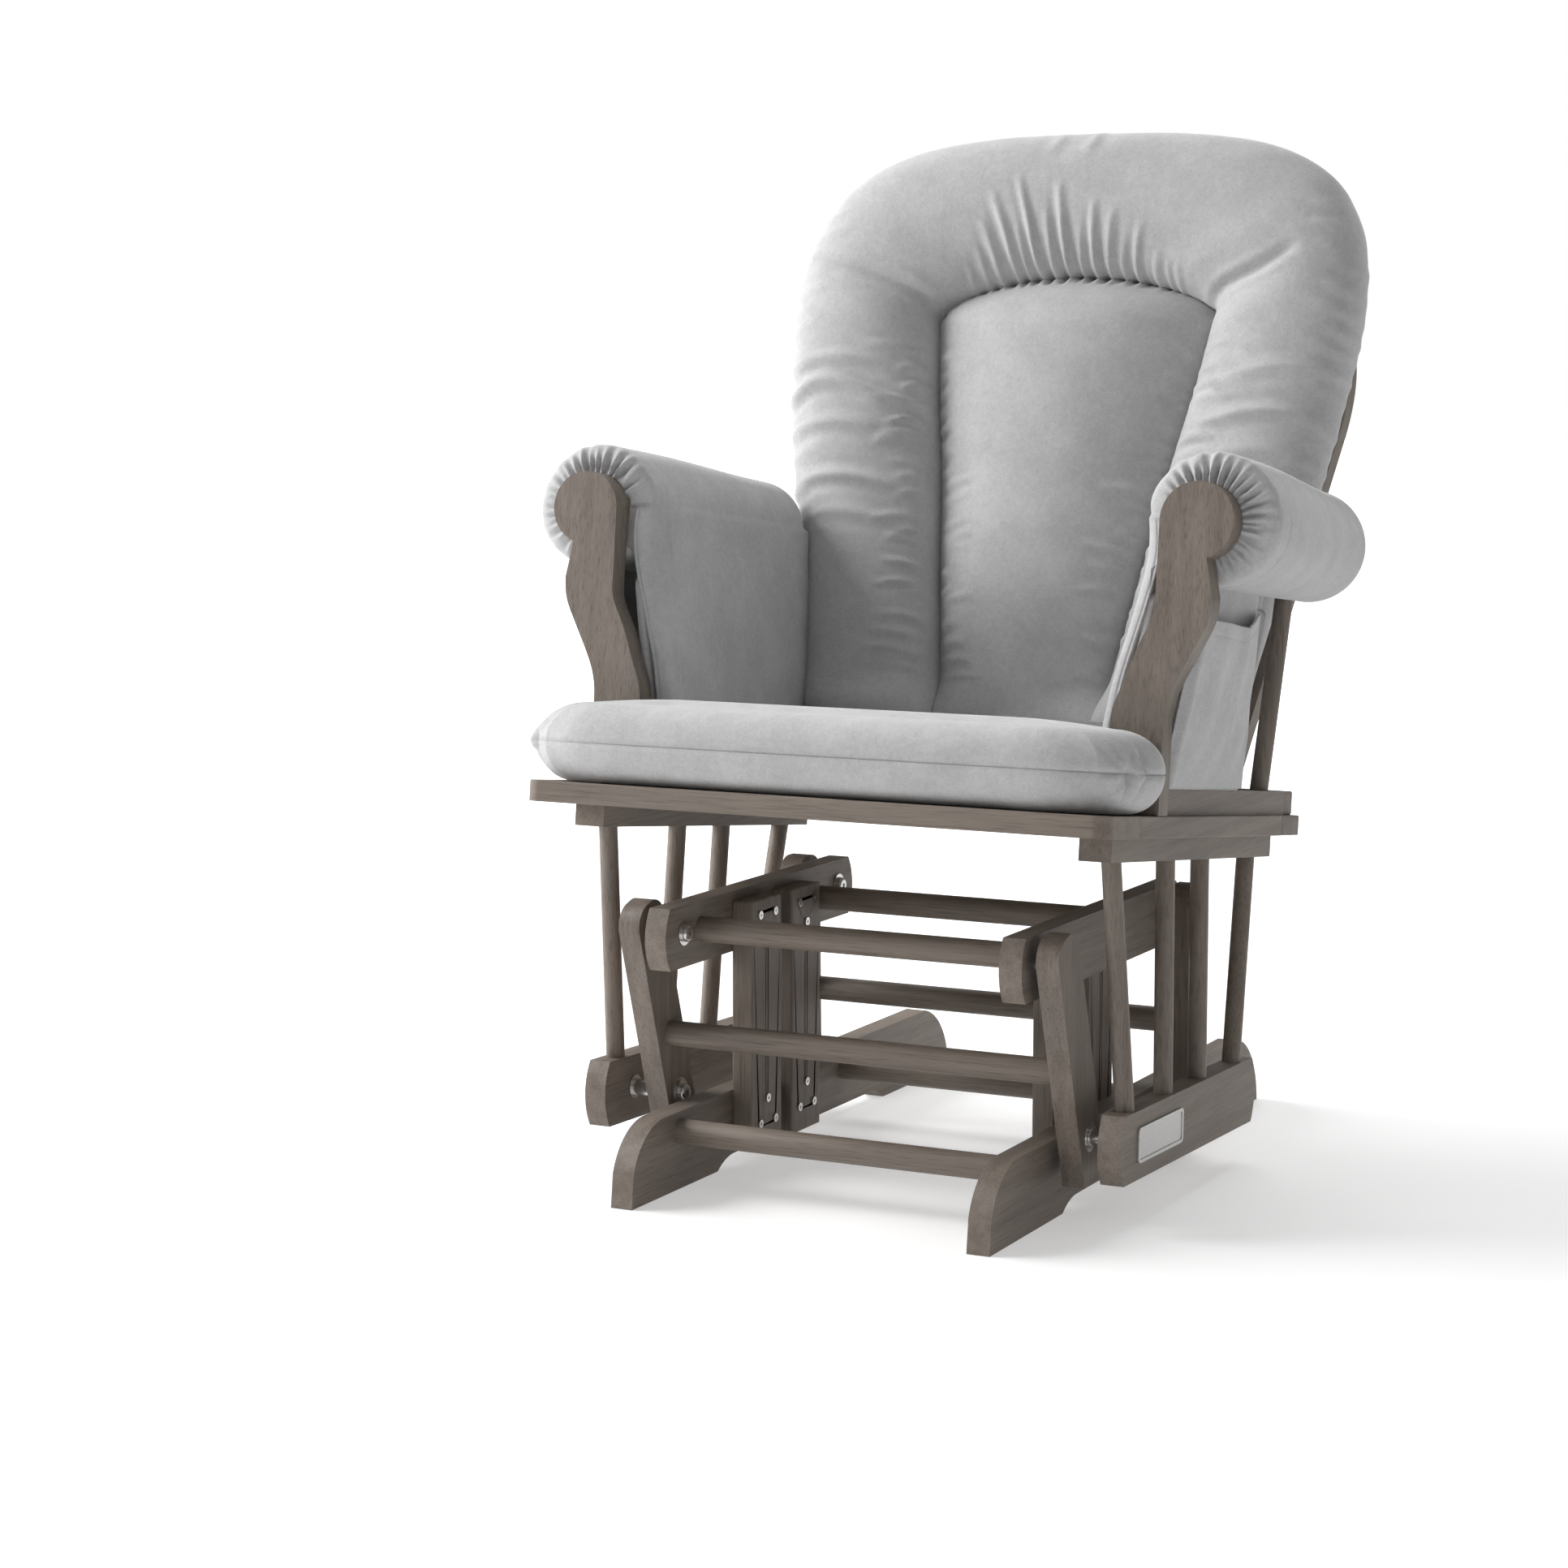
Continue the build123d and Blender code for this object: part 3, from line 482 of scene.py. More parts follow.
def surface_normals(grid):
    """Unit normals of a grid of points whose second index goes round."""
    across = np.gradient(grid, axis=0)
    round_ = np.roll(grid, -1, axis=1) - np.roll(grid, 1, axis=1)
    normals = np.cross(round_, across)
    length = np.linalg.norm(normals, axis=2, keepdims=True)
    return normals / np.maximum(length, 1e-12)


def stroke_field(points, strokes):
    """Height at 2-D points of soft folds drawn as strokes: (path, height, width) each.

    A stroke's fourth value, below 1, moves its fullest part towards the start of its path.
    """
    total = np.zeros(len(points))
    for path, height, width, *lead in strokes:
        line = curve_through(path, STROKE_STEPS)
        reach = STROKE_REACH * width
        near = np.all((points > line.min(0) - reach) & (points < line.max(0) + reach), axis=1)
        spot = points[near]
        best = np.full(len(spot), 1e9)
        along = np.zeros(len(spot))
        for k, (start, end) in enumerate(zip(line, line[1:])):
            run = end - start
            t = np.clip(((spot - start) @ run) / (run @ run), 0, 1)
            gap = np.linalg.norm(spot - start - t[:, None] * run, axis=1)
            closer = gap < best
            best[closer] = gap[closer]
            along[closer] = (k + t[closer]) / (len(line) - 1)
        taper = np.sin(np.pi * np.clip(along, 0, 1) ** (lead[0] if lead else 1)) ** 0.7
        crest = np.exp(-np.abs(best / width) ** 1.5)
        flank = FLANK * np.exp(-(((best - 2.0 * width) / width) ** 2))
        total[near] += height * taper * (crest - flank)
    return total


def fabric_object(name, mesh):
    """An object for a fabric mesh, shaded smooth."""
    mesh.polygons.foreach_set("use_smooth", [True] * len(mesh.polygons))
    mesh.materials.append(FABRIC)
    piece = bpy.data.objects.new(name, mesh)
    bpy.context.scene.collection.objects.link(piece)
    return piece


def ring_mesh(name, rings):
    """A smooth fabric mesh object from rings of points in metres, its ends filled."""
    rings = np.asarray(rings)
    count, around = rings.shape[:2]
    index = np.arange(count * around).reshape(count, around)
    following = np.roll(index, -1, axis=1)
    quads = np.stack([index[:-1], following[:-1], following[1:], index[1:]], -1).reshape(-1, 4)
    faces = [*quads.tolist(), index[0, ::-1].tolist(), index[-1].tolist()]
    mesh = bpy.data.meshes.new(name)
    mesh.from_pydata(rings.reshape(-1, 3).tolist(), [], faces)
    work = bmesh.new()
    work.from_mesh(mesh)
    bmesh.ops.remove_doubles(work, verts=work.verts, dist=MERGE_DISTANCE)
    bmesh.ops.dissolve_degenerate(work, edges=work.edges, dist=SLIVER)
    bmesh.ops.recalc_face_normals(work, faces=work.faces)
    work.to_mesh(mesh)
    work.free()
    return fabric_object(name, mesh)


def upholster(piece, fill, *nodes):
    """Attach a padded fabric piece to the seat and hide the CAD nodes that it stands for, if any."""
    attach(piece, "seat")
    if nodes:
        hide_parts(*nodes)


# ---------------------------------------------------------------- back cushion

EDGE_DEPTH = 46.0
REST_DEPTH = 21.0
VALLEY_DEPTH = 37.0
PANEL_CROWN = 84.0
PANEL_FOOT_DEPTH = 60.0
SEAM_CUT = 6.0
BOLSTER = 49.0
FULL_BOLSTER_WIDTH = 135.0
REAR_ROUND = 30
REAR_FLAT_ROWS = 10
REAR_ROUND_ROWS = 8
BOLSTER_ROW = 40
PANEL_TOP = 507
PANEL_ARCH = 0.0009
BACK_EDGE = [
    ([(0, 24), (120, 24), (192, 28)], 44),
    ([(192, 28), (221, 50), (237, 130), (253, 215), (274, 289), (289, 380), (297, 450), (296, 505)], 150),
    ([(296, 505), (284, 553), (252, 601), (192, 634), (105, 649), (0, 652)], 96),
]
PANEL_SEAM = [
    ([(0, 42), (50, 41), (84, 42)], 44),
    ([(84, 42), (96, 126), (109, 212), (121, 299), (136, 383), (146, 452)], 150),
    ([(146, 452), (147, 464), (138, 476), (112, 489), (60, 502), (0, 507)], 96),
]


def mirrored(path, side):
    """A path on one side of the middle: -1 for the left, 1 for the right."""
    return [(side * x, y) for x, y in path]


def bolster_strokes():
    """Folds on the side bolsters and the panel: long soft ones listed, short puckers at random."""
    rng = np.random.default_rng(11)
    strokes = [
        ([(-292, 356), (-262, 380), (-228, 383), (-180, 370), (-134, 362)], 9.0, 6.0),
        ([(-296, 396), (-258, 408), (-210, 407), (-160, 398)], 5.0, 5.5),
        ([(-290, 320), (-250, 338), (-205, 339), (-150, 330)], 4.6, 6.0),
        ([(-280, 262), (-240, 282), (-190, 283), (-124, 270)], 5.4, 6.0),
        ([(-268, 228), (-220, 246), (-170, 244), (-118, 232)], 2.6, 6.0),
        ([(290, 338), (255, 352), (205, 352), (140, 338)], 5.4, 6.5),
        ([(298, 392), (262, 398), (215, 396), (160, 384)], 2.6, 7.0),
        ([(284, 300), (240, 314), (190, 312), (130, 300)], 3.0, 7.0),
        ([(270, 250), (225, 266), (180, 266), (122, 254)], 2.6, 6.0),
    ]
    for side in (-1, 1):
        for s in np.arange(96, 430, 17.0):
            seam = np.interp(s, (70, 212, 383, 465), (88, 109, 136, 149))
            low = s + rng.uniform(-6, 6)
            length = rng.uniform(22, 62)
            rise = rng.uniform(-7, 5)
            height = rng.uniform(2.2, 4.8)
            path = [(seam + 3, low), (seam + 3 + length / 2, low + 3), (seam + 3 + length, low + rise)]
            strokes.append((mirrored(path, side), height, rng.uniform(3.0, 4.6)))
            inward = rng.uniform(14, 44) * (1.25 if s < 300 else 0.7)
            path = [(seam - 2, low), (seam - 2 - inward / 2, low + 1), (seam - 2 - inward, low - rise)]
            strokes.append((mirrored(path, side), 0.7 * height, rng.uniform(3.0, 5.0)))
        for s in np.arange(200, 560, 21.0):
            edge = np.interp(s, (200, 289, 390, 450, 505, 560), (244, 281, 297, 300, 297, 279))
            low = s + rng.uniform(-7, 7)
            length = rng.uniform(20, 48)
            path = [(edge - 2, low), (edge - length / 2, low + 5), (edge - length, low + 7)]
            strokes.append((mirrored(path, side), rng.uniform(0.8, 2.0), rng.uniform(4, 6)))
    return strokes


GATHER_LEAD = 0.55
GATHERS = [
    (-92, 28, 2.2, -0.25), (-78, 52, 3.4, -0.35), (-61, 78, 3.8, -0.34), (-50, 44, 2.6, -0.2),
    (-37, 92, 4.4, -0.26), (-21, 60, 3.2, -0.12), (-6, 84, 4.2, -0.12), (9, 40, 2.6, 0.02),
    (23, 66, 3.6, 0.0), (39, 58, 3.4, 0.08), (52, 30, 2.2, 0.12), (67, 46, 2.8, 0.16), (88, 24, 1.8, 0.2),
]


def gather_strokes():
    """Gathers that rise from the top arc of the panel seam."""
    rng = np.random.default_rng(5)
    strokes = []
    for foot, length, height, lean in GATHERS:
        base = PANEL_TOP - PANEL_ARCH * foot**2
        bend = foot + 0.35 * lean * length
        path = [(foot, base - 12), (foot, base + 2), (bend, base + 0.5 * length)]
        path.append((foot + lean * length, base + length))
        strokes.append((path, height, rng.uniform(3.2, 4.6), GATHER_LEAD))
    for x in np.arange(-110, 116, 8.5):
        foot = x + rng.uniform(-2, 2)
        base = PANEL_TOP - PANEL_ARCH * foot**2
        path = [(foot, base - 14), (foot + rng.uniform(-1, 1), base), (foot, base + 15)]
        strokes.append((path, rng.uniform(0.8, 1.8), rng.uniform(2.4, 3.4)))
    strokes += [
        ([(-24, 650), (-28, 632), (-34, 616)], 1.2, 6.0),
        ([(14, 652), (10, 636), (6, 618)], 1.5, 6.0),
    ]
    return strokes


def corner_creases():
    """Grooves where the bolster is sewn at the panel's two upper corners."""
    grooves = []
    for side, end, depth in ((-1, (282, 520), -5.0), (1, (238, 522), -4.4)):
        path = mirrored([(140, 462), (158, 482), (200, 499), end], side)
        grooves.append((path, depth, 5.0))
        grooves.append((path, depth, 17.0))
    return grooves


def back_rear_rows(edge, inward, edge_depth):
    """Rows over the cushion's flat rear and the round from it to the edge."""
    core = np.stack([np.zeros(len(edge)), np.clip(edge[:, 1], 170, 500)], -1)
    flat = edge + inward * REAR_ROUND
    rows = [level_row(core + (flat - core) * k, REST_DEPTH) for k in np.linspace(0.02, 1, 9)]
    for angle in np.linspace(0.12, 1, 9) * math.pi / 2:
        spread = edge + inward * REAR_ROUND * (1 - math.sin(angle))
        rows.append((spread, edge_depth - (edge_depth - REST_DEPTH) * math.cos(angle)))
    return rows


def back_bolster_rows(edge, seam, edge_depth, valley):
    """Rows over the bolster, from the edge to the sewn-down seam of the panel."""
    width = np.linalg.norm(edge - seam, axis=1)
    plump = BOLSTER * np.clip(width / FULL_BOLSTER_WIDTH, 0.12, 1) ** 0.8
    rows = []
    for angle in np.linspace(0, 1, 60)[1:-1] * math.pi:
        t = (1 - math.cos(angle)) / 2
        place = edge + (seam - edge) * t
        depth = edge_depth + (valley - edge_depth) * t + plump * math.sin(angle) ** 0.82
        rows.append((place, depth))
    rows.append((seam, valley - SEAM_CUT))
    return rows


def back_panel_rows(seam, valley):
    """Rows over the crowned centre panel, from its seam to its middle line."""
    core = np.stack([np.zeros(len(seam)), 60 + 380 * smooth_step(50, 500, seam[:, 1])], -1)
    rows = []
    for t in np.linspace(0, 1, 36)[1:] ** 1.25:
        place = seam + (core - seam) * t
        lift = (1 - (1 - t) ** 2.1) ** 0.8
        high = PANEL_FOOT_DEPTH + (PANEL_CROWN - PANEL_FOOT_DEPTH) * smooth_step(42, 190, place[:, 1])
        rows.append((place, valley + (high - valley) * lift))
    return rows


def back_folds(flat):
    """Height of the cushion's folds at rows of points; none on its flat rear."""
    strokes = bolster_strokes() + gather_strokes() + corner_creases()
    folds = stroke_field(flat.reshape(-1, 2), strokes).reshape(flat.shape[:2])
    ends = REAR_FLAT_ROWS + REAR_ROUND_ROWS
    folds[:REAR_FLAT_ROWS] = 0
    folds[REAR_FLAT_ROWS:ends] *= np.linspace(0, 1, REAR_ROUND_ROWS)[:, None]
    return folds


def make_back_cushion():
    """A bolster sewn round a sunk centre panel, gathered over the panel's arch."""
    edge = half_loop(BACK_EDGE)
    seam = half_loop(PANEL_SEAM)
    low_end = smooth_step(48, 100, seam[:, 1])
    valley = VALLEY_DEPTH + (PANEL_FOOT_DEPTH - VALLEY_DEPTH) * (1 - low_end)
    edge_depth = EDGE_DEPTH + 8 * (1 - smooth_step(40, 100, edge[:, 1]))
    rows = back_rear_rows(edge, unit_rows(seam - edge), edge_depth)
    rows += back_bolster_rows(edge, seam, edge_depth, valley)
    rows += back_panel_rows(seam, valley)
    flat, depth = split_rows(rows)
    grid = back_point(flat[..., 0], flat[..., 1], depth)
    normals = surface_normals(grid)
    outward = back_point(0, 0, 1.0) - back_point(0, 0, 0.0)
    if (normals[BOLSTER_ROW] @ outward).mean() < 0:
        normals = -normals
    grid = grid + normals * back_folds(flat)[..., None] * MM
    upholster(ring_mesh("back_cushion_cover", grid), 0.75, "back_cushion")


# ---------------------------------------------------------------- seat cushion

SEAT_SEAM_N = 54.0
SEAT_FLOOR_N = DECK_BOARD + 0.5
SEAT_TOP_N = 96.0
SEAT_CROWN = 6
TOP_ROUND = 46.0
BASE_ROUND = 34.0
SEAM_LIP = 0.9
SEAM_NIP = 1.7
TUCK = (280.0, 31.0)
SEAT_SEAM = [
    ([(0, -10), (120, -9), (215, -4), (262, 10)], 120),
    ([(262, 10), (279, 26), (287, 46), (291, 66), (291, 84), (283, 103), (260, 109), (216, 111)], 90),
    ([(216, 111), (200, 116), (195, 130), (195, 200), (195, 300), (194, 412), (182, 434)], 130),
    ([(182, 434), (120, 439), (0, 440)], 60),
]


def tuck_field(seam, height):
    """How far the cover is drawn in round the folded tucks at the two front corners."""
    run = np.concatenate([[0], np.cumsum(np.linalg.norm(np.diff(seam, axis=0), axis=1))])
    total = np.zeros(height.shape)
    above = height - SEAT_SEAM_N
    for side in (-1, 1):
        place = run[np.argmin(np.linalg.norm(seam - [side * TUCK[0], TUCK[1]], axis=1))]
        gap = (run - place)[None, :] * side
        ear = np.exp(-np.abs((gap - 7.5) / 6.5) ** 1.6) * np.exp(-np.abs(above / 11.0) ** 1.3)
        total -= 10.0 * ear
        total += 8.5 * np.exp(-((gap / 3.4) ** 2) - ((above + 3) / 9.0) ** 2)
        total += 6.0 * np.exp(-(((gap - 17) / 4.0) ** 2) - (above / 15.0) ** 2)
        for lean, reach in ((-1, 15), (-0.35, 20), (0.5, 16)):
            line = gap + 4 - lean * above
            fade = ((np.abs(above) - reach * 0.7) / (reach * 0.6)) ** 2
            total += 1.7 * np.exp(-((line / 2.4) ** 2) - fade)
            total -= 1.2 * np.exp(-(((line - 5) / 2.8) ** 2) - fade)
    return total


def seat_lower_rows(seam, inward, span):
    """Rows from the middle of the underside out to the seam, which is nipped in."""
    rows = []
    for t in np.linspace(1, 0.02, 8):
        reach = BASE_ROUND + (span - BASE_ROUND) * t
        rows.append(level_row(seam + inward * reach[:, None], SEAT_FLOOR_N))
    for angle in np.linspace(1, 0, 18)[:-1] * math.pi / 2:
        place = seam + inward * BASE_ROUND * (1 - math.cos(angle))
        rows.append(level_row(place, SEAT_SEAM_N - (SEAT_SEAM_N - SEAT_FLOOR_N) * math.sin(angle)))
    rows[-1] = level_row(seam, SEAT_SEAM_N - SEAM_LIP)
    rows.append(level_row(seam + inward * SEAM_NIP, SEAT_SEAM_N))
    rows.append(level_row(seam, SEAT_SEAM_N + SEAM_LIP))
    return rows


def seat_upper_rows(seam, inward, span):
    """Rows from the seam over the rounded edge to the middle of the crowned top."""
    shoulder = SEAT_TOP_N - SEAT_CROWN
    rows = []
    for angle in np.linspace(0, 1, 24)[2:] * math.pi / 2:
        place = seam + inward * TOP_ROUND * (1 - math.cos(angle))
        rows.append(level_row(place, SEAT_SEAM_N + (shoulder - SEAT_SEAM_N) * math.sin(angle) ** 0.95))
    for t in np.linspace(0, 1, 34)[1:]:
        reach = TOP_ROUND + (span - TOP_ROUND) * t
        height = shoulder + SEAT_CROWN * math.sin(t * math.pi / 2)
        rows.append(level_row(seam + inward * reach[:, None], height))
    return rows


def make_seat_cushion():
    """A crowned T cushion with a seam round its middle and tucked front corners."""
    seam = half_loop(SEAT_SEAM)
    core = np.stack([np.clip(seam[:, 0], -150, 150), np.clip(seam[:, 1], 70, 380)], -1)
    span = np.linalg.norm(seam - core, axis=1)
    inward = (core - seam) / span[:, None]
    flat, height = split_rows(seat_lower_rows(seam, inward, span) + seat_upper_rows(seam, inward, span))
    flat = flat + inward[None] * tuck_field(seam, height)[..., None]
    grid = deck_point(flat[..., 0], flat[..., 1], height)
    upholster(ring_mesh("seat_cushion_cover", grid), 0.85, "seat_cushion")


# ---------------------------------------------------------------- arms

ROLL_FRONT = (299.0, 267.5)
ROLL_REAR = (288.5, 269.0)
ROLL_FRONT_RADIUS = 61.0
ROLL_REAR_RADIUS = 51.5
SCROLL = (295.4, 268.0)
SCROLL_RADIUS = 35.0
COVER_FRONT_U = 138.2
ROLL_END_U = 442.0
ROLL_CAP = 35.0
SHEET_END_U = 448.0
SHEET_CAP = 8.0
ROLL_SAG = 0.86
GATHER = 14.0
GATHER_FULLNESS = 2.9
HEM = 10.0
SHEET = 14.0
FRONT_FLARE = 11.0
BOARD = 15.0
BOARD_TOP_N = 208.0
INNER_POINTS = 70
GATHER_RUN = 24
PLAIN_RUN = 99.0
FINE_STEPS = [
    0.0, 0.08, 0.2, 0.35, 0.55, 0.8, 1.1, 1.5, 2.0, 2.6, 3.3, 4.1, 5.0, 6.0, 7.1, 8.3, 9.6, 11.0, 12.5,
]
FRONT_STEPS = np.concatenate([FINE_STEPS, np.arange(14, 36, 1.6), np.arange(36, 74, 2.5)])
INNER_FACE = [
    (200, 26), (204, 60), (209, 90), (214, 119), (222.5, 168), (229.5, 217), (234, 248), (236.2, 271),
]


def arm_profile():
    """The cover's section across the arm, as (X, n) points, with what its ends need.

    With the points come the lines that the front and rear ends close to, and each point's
    share of the roll and of the gather.
    """
    inner = curve_through(INNER_FACE, INNER_POINTS)
    angles = np.linspace(math.radians(174.5), math.radians(-142), 190)[1:]
    roll = np.stack([np.cos(angles), np.sin(angles)], -1) * ROLL_FRONT_RADIUS + ROLL_FRONT
    outer = inner[inner[:, 1] < 228][::-1] + [SHEET, 0]
    base = np.linspace(0, math.pi, 8)[1:-1]
    foot = inner[0] + [SHEET / 2, 0]
    bottom = foot + np.stack([np.cos(base), -np.sin(base)], -1) * SHEET / 2
    points = np.vstack([inner, roll, outer, bottom])
    middle = [inner + [SHEET / 2, 0], np.broadcast_to(ROLL_FRONT, roll.shape), outer - [SHEET / 2, 0]]
    rear_core = np.vstack([*middle, np.broadcast_to(foot, bottom.shape)])
    edge = [inner + [SHEET - 1.5, 0], np.broadcast_to(ROLL_FRONT, roll.shape), outer - [1.5, 0]]
    front_core = np.vstack([*edge, np.broadcast_to(foot + [SHEET / 2 - 1.5, 0], bottom.shape)])
    turn = np.degrees(angles)
    before, after = np.zeros(len(inner)), np.zeros(len(outer) + len(bottom))
    on_roll = np.concatenate([before, np.ones(len(roll)), after])
    gathered = np.concatenate([before, smooth_step(176, 140, turn) * smooth_step(-142, -134, turn), after])
    return points, front_core, rear_core, on_roll, gathered


def smooth_join(values, reach):
    """Values round a loop, averaged over a few neighbours."""
    kernel = np.hanning(2 * reach + 3)[1:-1]
    kernel /= kernel.sum()
    padded = np.concatenate([values[-reach:], values, values[:reach]])
    return np.convolve(padded, kernel, mode="valid")


def pleat_field(angles, run, rng):
    """Heights of the pleats that gather the cover to the scroll, by angle and run back from the rim."""
    total = np.zeros(np.broadcast(angles, run).shape)
    for centre in np.arange(-140, 178, 10.5):
        place = centre + rng.uniform(-2.5, 2.5)
        height = rng.uniform(3.6, 5.6)
        width = rng.uniform(1.9, 2.8)
        crown = math.exp(-(((centre - 80) / 60) ** 2))
        length = rng.uniform(20, 26) + crown * rng.uniform(8, 26)
        spread = width * (1 + run / 70)
        drift = rng.uniform(-0.12, 0.12) * run
        gap = np.abs((angles - place - drift + 180) % 360 - 180)
        fade = np.exp(-((run / (0.5 * length)) ** 1.3)) * smooth_step(-3, 5, run)
        valley = np.exp(-(((gap - 2.3 * spread) / spread) ** 2))
        total += height * fade * (np.exp(-((gap / spread) ** 1.5)) - 0.75 * valley)
    for centre in np.arange(-142, 178, 5.2):
        place = centre + rng.uniform(-1, 1)
        gap = np.abs((angles - place + 180) % 360 - 180)
        total += rng.uniform(0.4, 1.1) * np.exp(-((gap / 1.4) ** 2)) * np.exp(-((run / 12.0) ** 2))
    return total


def arm_front_rows(points, front_core, gathered):
    """Rows over the sheet's round front edge and the roll's gather, and each row's run."""
    rim = np.asarray(SCROLL) + unit_rows(points - ROLL_FRONT) * SCROLL_RADIUS
    share = gathered[:, None]
    rows = [level_row(front_core, COVER_FRONT_U + 1.0)]
    runs = [0.0]
    for step in FRONT_STEPS:
        sheet_in = (1 - (1 - min(step / HEM, 1)) ** 2) ** 0.5
        roll_in = (1 - (1 - min(step / GATHER, 1)) ** GATHER_FULLNESS) ** (1 / GATHER_FULLNESS)
        plain = front_core + (points - front_core) * sheet_in
        drawn = rim + (points - rim) * roll_in
        rows.append(level_row(plain * (1 - share) + drawn * share, COVER_FRONT_U + step))
        runs.append(step + GATHER_RUN * roll_in)
    return rows, runs


def arm_rear_rows(points, rear_core, rolled):
    """Rows back along the arm from the gather, and over its closed rear end."""
    end_u = SHEET_END_U + (ROLL_END_U - SHEET_END_U) * rolled
    cap = SHEET_CAP + (ROLL_CAP - SHEET_CAP) * rolled
    last = COVER_FRONT_U + FRONT_STEPS[-1]
    rows = [(points, last + (end_u - last) * t) for t in np.linspace(0, 1, 90)[1:]]
    for angle in np.linspace(0, 1, 18)[1:] * math.pi / 2:
        place = rear_core + (points - rear_core) * math.cos(angle) ** 0.9
        rows.append((place, end_u + cap * math.sin(angle)))
    return rows


def taper_arm(flat, along, rolled):
    """The section's points with the roll slimmer to the rear and flatter below."""
    back = smooth_step(150, 470, along)[..., None] * rolled[None, :, None]
    shrink = ROLL_REAR_RADIUS / ROLL_FRONT_RADIUS
    rear_flat = np.asarray(ROLL_REAR) + (flat - ROLL_FRONT) * shrink
    flat = flat + (rear_flat - flat) * back
    below = np.minimum(flat[..., 1] - ROLL_FRONT[1], 0) * rolled[None, :]
    flat[..., 1] -= below * (1 - ROLL_SAG) * (1 - smooth_step(180, 400, along))
    return flat


def spread_arm(flat, along, on_roll):
    """(X, u, n) points of the cover: its sheet stands out at the front edge and at the low rear."""
    widen = smooth_step(150, 450, along) * 8 * np.clip((200 - flat[..., 1]) / 150, 0, 1)
    flare = FRONT_FLARE * np.exp(-(((along - COVER_FRONT_U) / 26.0) ** 2))
    flare = flare * smooth_step(120, 240, flat[..., 1]) * (1 - smooth_join(on_roll, 14))[None, :]
    return np.stack([flat[..., 0] + widen + flare, along, flat[..., 1]], -1)


def arm_folds(flat, along, run, gathered, rng):
    """Heights of the pleats, the soft unevenness behind them and the inner front seam."""
    angles = np.degrees(np.arctan2(flat[..., 1] - ROLL_FRONT[1], flat[..., 0] - ROLL_FRONT[0]))
    lift = pleat_field(angles, run, rng) * smooth_join(gathered, 4)[None, :]
    inner = (np.arange(flat.shape[1]) < INNER_POINTS)[None, :]
    lift += 1.0 * np.sin(along / 47 + flat[..., 1] / 61) * np.sin(flat[..., 1] / 37 + 1.3) * (along > 170)
    lift -= 0.8 * np.exp(-(((along - COVER_FRONT_U - 0.3) / 0.16) ** 2)) * inner
    lift[0] = 0
    lift[-1] = 0
    return lift


def make_arm_cover(name, side, rng):
    """The arm's padded cover: a roll gathered to the scroll, running down into the inner sheet."""
    points, front_core, rear_core, on_roll, gathered = arm_profile()
    rolled = smooth_join(on_roll, 22)
    rows, runs = arm_front_rows(points, front_core, gathered)
    rear = arm_rear_rows(points, rear_core, rolled)
    flat, along = split_rows(rows + rear)
    run = np.array(runs + [PLAIN_RUN] * len(rear))[:, None]
    flat = taper_arm(flat, along, rolled)
    section = spread_arm(flat, along, on_roll)
    normals = surface_normals(section)
    if (normals[70, 150] @ [0, 0, 1]) < 0:
        normals = -normals
    section = section + normals * arm_folds(flat, along, run, gathered, rng)[..., None]
    grid = deck_point(side * section[..., 0], section[..., 1], section[..., 2])
    piece = ring_mesh("arm_cover_" + name, grid)
    upholster(piece, 0.7, "arm_roll_pad_" + name, "arm_inner_panel_" + name)


def make_arm_board(name, side):
    """The padded board behind the inner sheet, with a soft rounded front edge."""
    heights = np.linspace(28, BOARD_TOP_N, 64)
    inner_x = np.interp(heights, [n for x, n in INNER_FACE], [x for x, n in INNER_FACE]) + SHEET + 0.4
    drop = np.clip((heights - BOARD_TOP_N + 9) / 9.2, 0, 1)
    crown = np.sqrt(1 - drop**2)
    front = COVER_FRONT_U + 1.2 + 9 * (1 - crown)
    rear = 436 - 9 * (1 - crown)
    columns = []
    for turn in np.linspace(0, 2 * math.pi, 60, endpoint=False):
        across = np.sign(math.sin(turn)) * abs(math.sin(turn)) ** 0.45
        depth = np.sign(math.cos(turn)) * abs(math.cos(turn)) ** 0.3
        x = inner_x + BOARD / 2 * (1 + across * np.maximum(crown, 0.1) ** 0.4)
        columns.append(np.stack([x, (front + rear) / 2 + (rear - front) / 2 * depth, heights], -1))
    section = np.swapaxes(np.array(columns), 0, 1)
    grid = deck_point(side * section[..., 0], section[..., 1], section[..., 2])
    upholster(ring_mesh("arm_board_" + name, grid), 0.6)


def sheet_object(name, grid, thickness):
    """A cloth sheet from a grid of points, given a thickness in mm."""
    rows, columns = grid.shape[:2]
    index = np.arange(rows * columns).reshape(rows, columns)
    quads = np.stack([index[:-1, :-1], index[:-1, 1:], index[1:, 1:], index[1:, :-1]], -1).reshape(-1, 4)
    mesh = bpy.data.meshes.new(name)
    mesh.from_pydata(grid.reshape(-1, 3).tolist(), [], quads.tolist())
    piece = fabric_object(name, mesh)
    thicken = piece.modifiers.new("thickness", "SOLIDIFY")
    thicken.thickness = thickness * MM
    thicken.offset = 0
    return piece


EDGE_TUCK = 9.0
CLOTH_FRONT_U = 138.4
CLOTH_LOW_N = 41.5
CLOTH_TOP_N = 226
CLOTH_THICKNESS = 2.2
POCKET_LOW_N = 43
POCKET_CORNER = 0.66
POCKET_THICKNESS = 1.7
POCKET_SEWN_RISE = 2.2


def outer_face(n):
    """X of the outer panel at a height above the deck."""
    return np.interp(n, (41, 90, 150, 200, 232), (269, 279.5, 287.5, 291.5, 293.5))


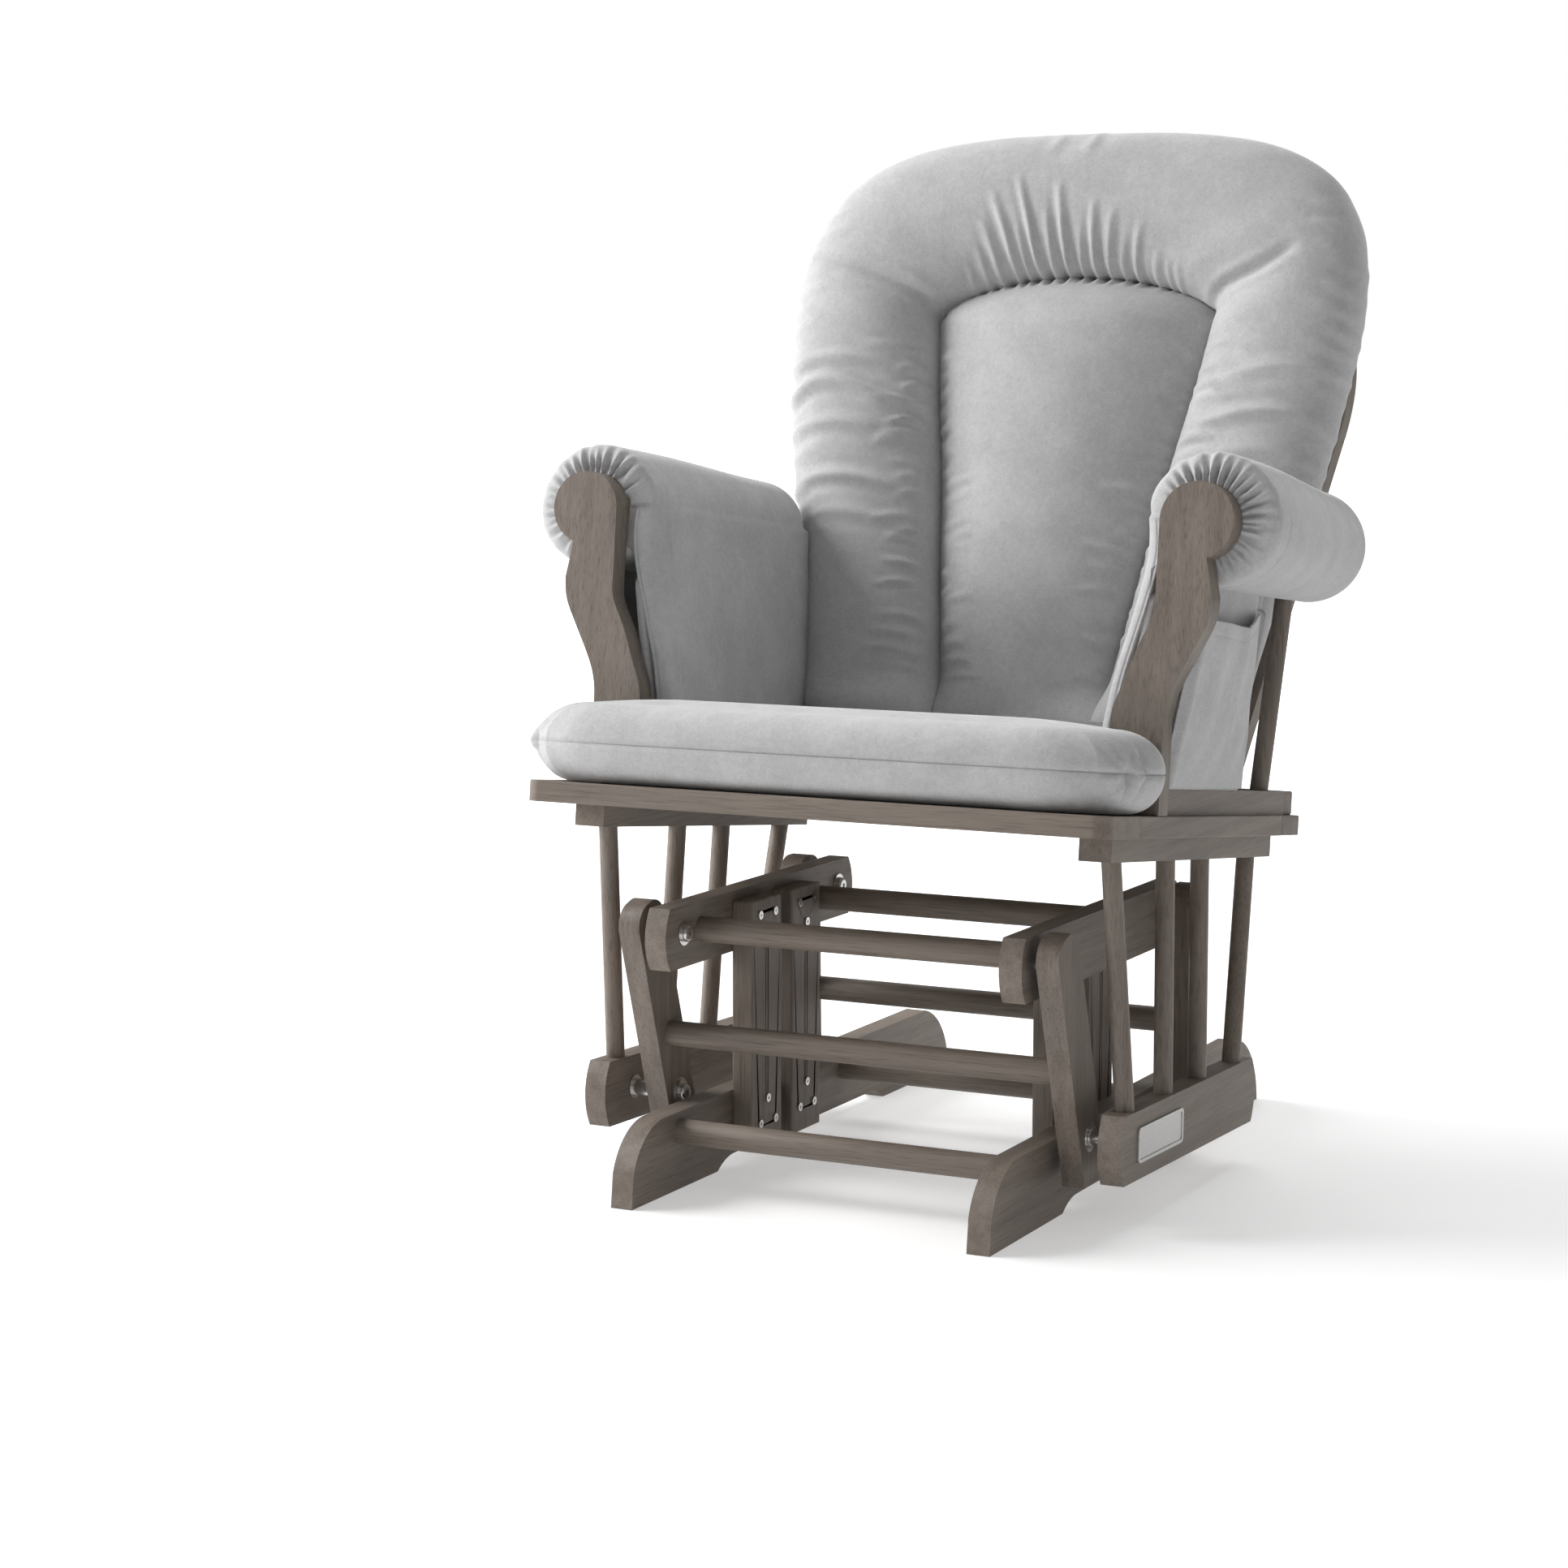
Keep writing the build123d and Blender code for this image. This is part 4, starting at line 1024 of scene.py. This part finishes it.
def hang_sheet(piece, slot_nodes):
    """Attach a hanging cloth to the seat and hide the CAD nodes that it stands for."""
    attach(piece, "seat")
    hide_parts(*slot_nodes)


def make_outer_cloth(name, side):
    """The cloth from the roll's underside down to the base rail."""
    v, w = np.meshgrid(np.linspace(0, 1, 70), np.linspace(0, 1, 90))
    n = CLOTH_LOW_N + (CLOTH_TOP_N - CLOTH_LOW_N) * w
    end = np.interp(n, (41, 65, 120, 200, 228), (332, 321, 301, 292, 292))
    u = CLOTH_FRONT_U + (end - CLOTH_FRONT_U) * v
    ripple = 1.2 * np.sin(u / 19 + n / 60) * np.sin(math.pi * w) ** 0.5 + 0.8 * np.sin(u / 9.5 + 2) * (1 - w)
    x = outer_face(n) + ripple * smooth_step(0, 0.1, w) - EDGE_TUCK * (1 - smooth_step(0, 0.06, v))
    grid = deck_point(side * x, u, n)
    panel = sheet_object("arm_outer_cloth_" + name, grid, CLOTH_THICKNESS)
    hang_sheet(panel, ["arm_outer_panel_" + name])


def pocket_place(v, n):
    """Distance back along the deck of the pocket's cloth, and of its corner, at each height."""
    corner_u = np.interp(n, (43, 120, 186), (268, 250, 234))
    end_u = np.interp(n, (43, 65, 120, 200), (331, 320, 300.5, 291))
    front = CLOTH_FRONT_U + 0.3
    ahead = front + (corner_u - front) * v / POCKET_CORNER
    behind = corner_u + (end_u - corner_u) * (v - POCKET_CORNER) / (1 - POCKET_CORNER)
    return np.where(v < POCKET_CORNER, ahead, behind), corner_u


def pocket_rise(v, n):
    """How far the pocket stands off the outer cloth: most at its corner, least where it is sewn."""
    depth = np.interp(n, (43, 80, 130, 186, 200), (POCKET_SEWN_RISE, 5.0, 9.0, 15.0, 15.0))
    start = np.interp(n, (43, 186), (POCKET_SEWN_RISE, 8.0))
    opening = np.sin(np.clip(v / POCKET_CORNER, 0, 1) * math.pi / 2) ** 1.2
    closing = np.clip((v - POCKET_CORNER) / (1 - POCKET_CORNER), 0, 1) ** 0.85
    ahead = start + (depth - start) * opening
    return np.where(v < POCKET_CORNER, ahead, depth + (POCKET_SEWN_RISE - depth) * closing)


def pocket_folds(u, n, v, w, corner_u, mouth):
    """Soft folds down the pocket, a fold at its corner and a stitched line under its mouth."""
    folds = 1.5 * np.sin(u / 15 + n / 90 + 0.6) * smooth_step(0.03, 0.4, w) * (0.4 + 0.6 * w)
    folds += 1.1 * np.sin(u / 8.3 - n / 70) * smooth_step(0.02, 0.3, w) * (1 - 0.5 * w)
    folds += 2.2 * np.exp(-(((u - corner_u + 3) / 5) ** 2)) * w
    folds -= 0.7 * np.exp(-(((mouth - n - 12) / 0.9) ** 2)) * (v < 0.95)
    return folds * np.clip(np.minimum(v, 1 - v) / 0.05, 0, 1) * smooth_step(0, 0.06, w)


def make_pocket(name, side):
    """The pocket sewn on the outer cloth, open at its top."""
    v, w = np.meshgrid(np.linspace(0, 1, 120), np.linspace(0, 1, 100))
    mouth = np.interp(v, (0, 0.3, POCKET_CORNER, 0.9, 1), (187.5, 186, 184, 195, 199))
    n = POCKET_LOW_N + (mouth - POCKET_LOW_N) * w
    u, corner_u = pocket_place(v, n)
    x = outer_face(n) + 1.6 + pocket_rise(v, n) + pocket_folds(u, n, v, w, corner_u, mouth)
    x = x - EDGE_TUCK * (1 - smooth_step(0, 0.05, v))
    grid = deck_point(side * x, u, n)
    pocket = sheet_object("arm_pocket_cloth_" + name, grid, POCKET_THICKNESS)
    hang_sheet(pocket, ["arm_pocket_" + name])


make_camera()
make_stage()
dress_cad_nodes()
make_back_cushion()
make_seat_cushion()
pleats = np.random.default_rng(3)
for arm, way in (("left", -1), ("right", 1)):
    make_arm_cover(arm, way, pleats)
    make_arm_board(arm, way)
    make_outer_cloth(arm, way)
    make_pocket(arm, way)
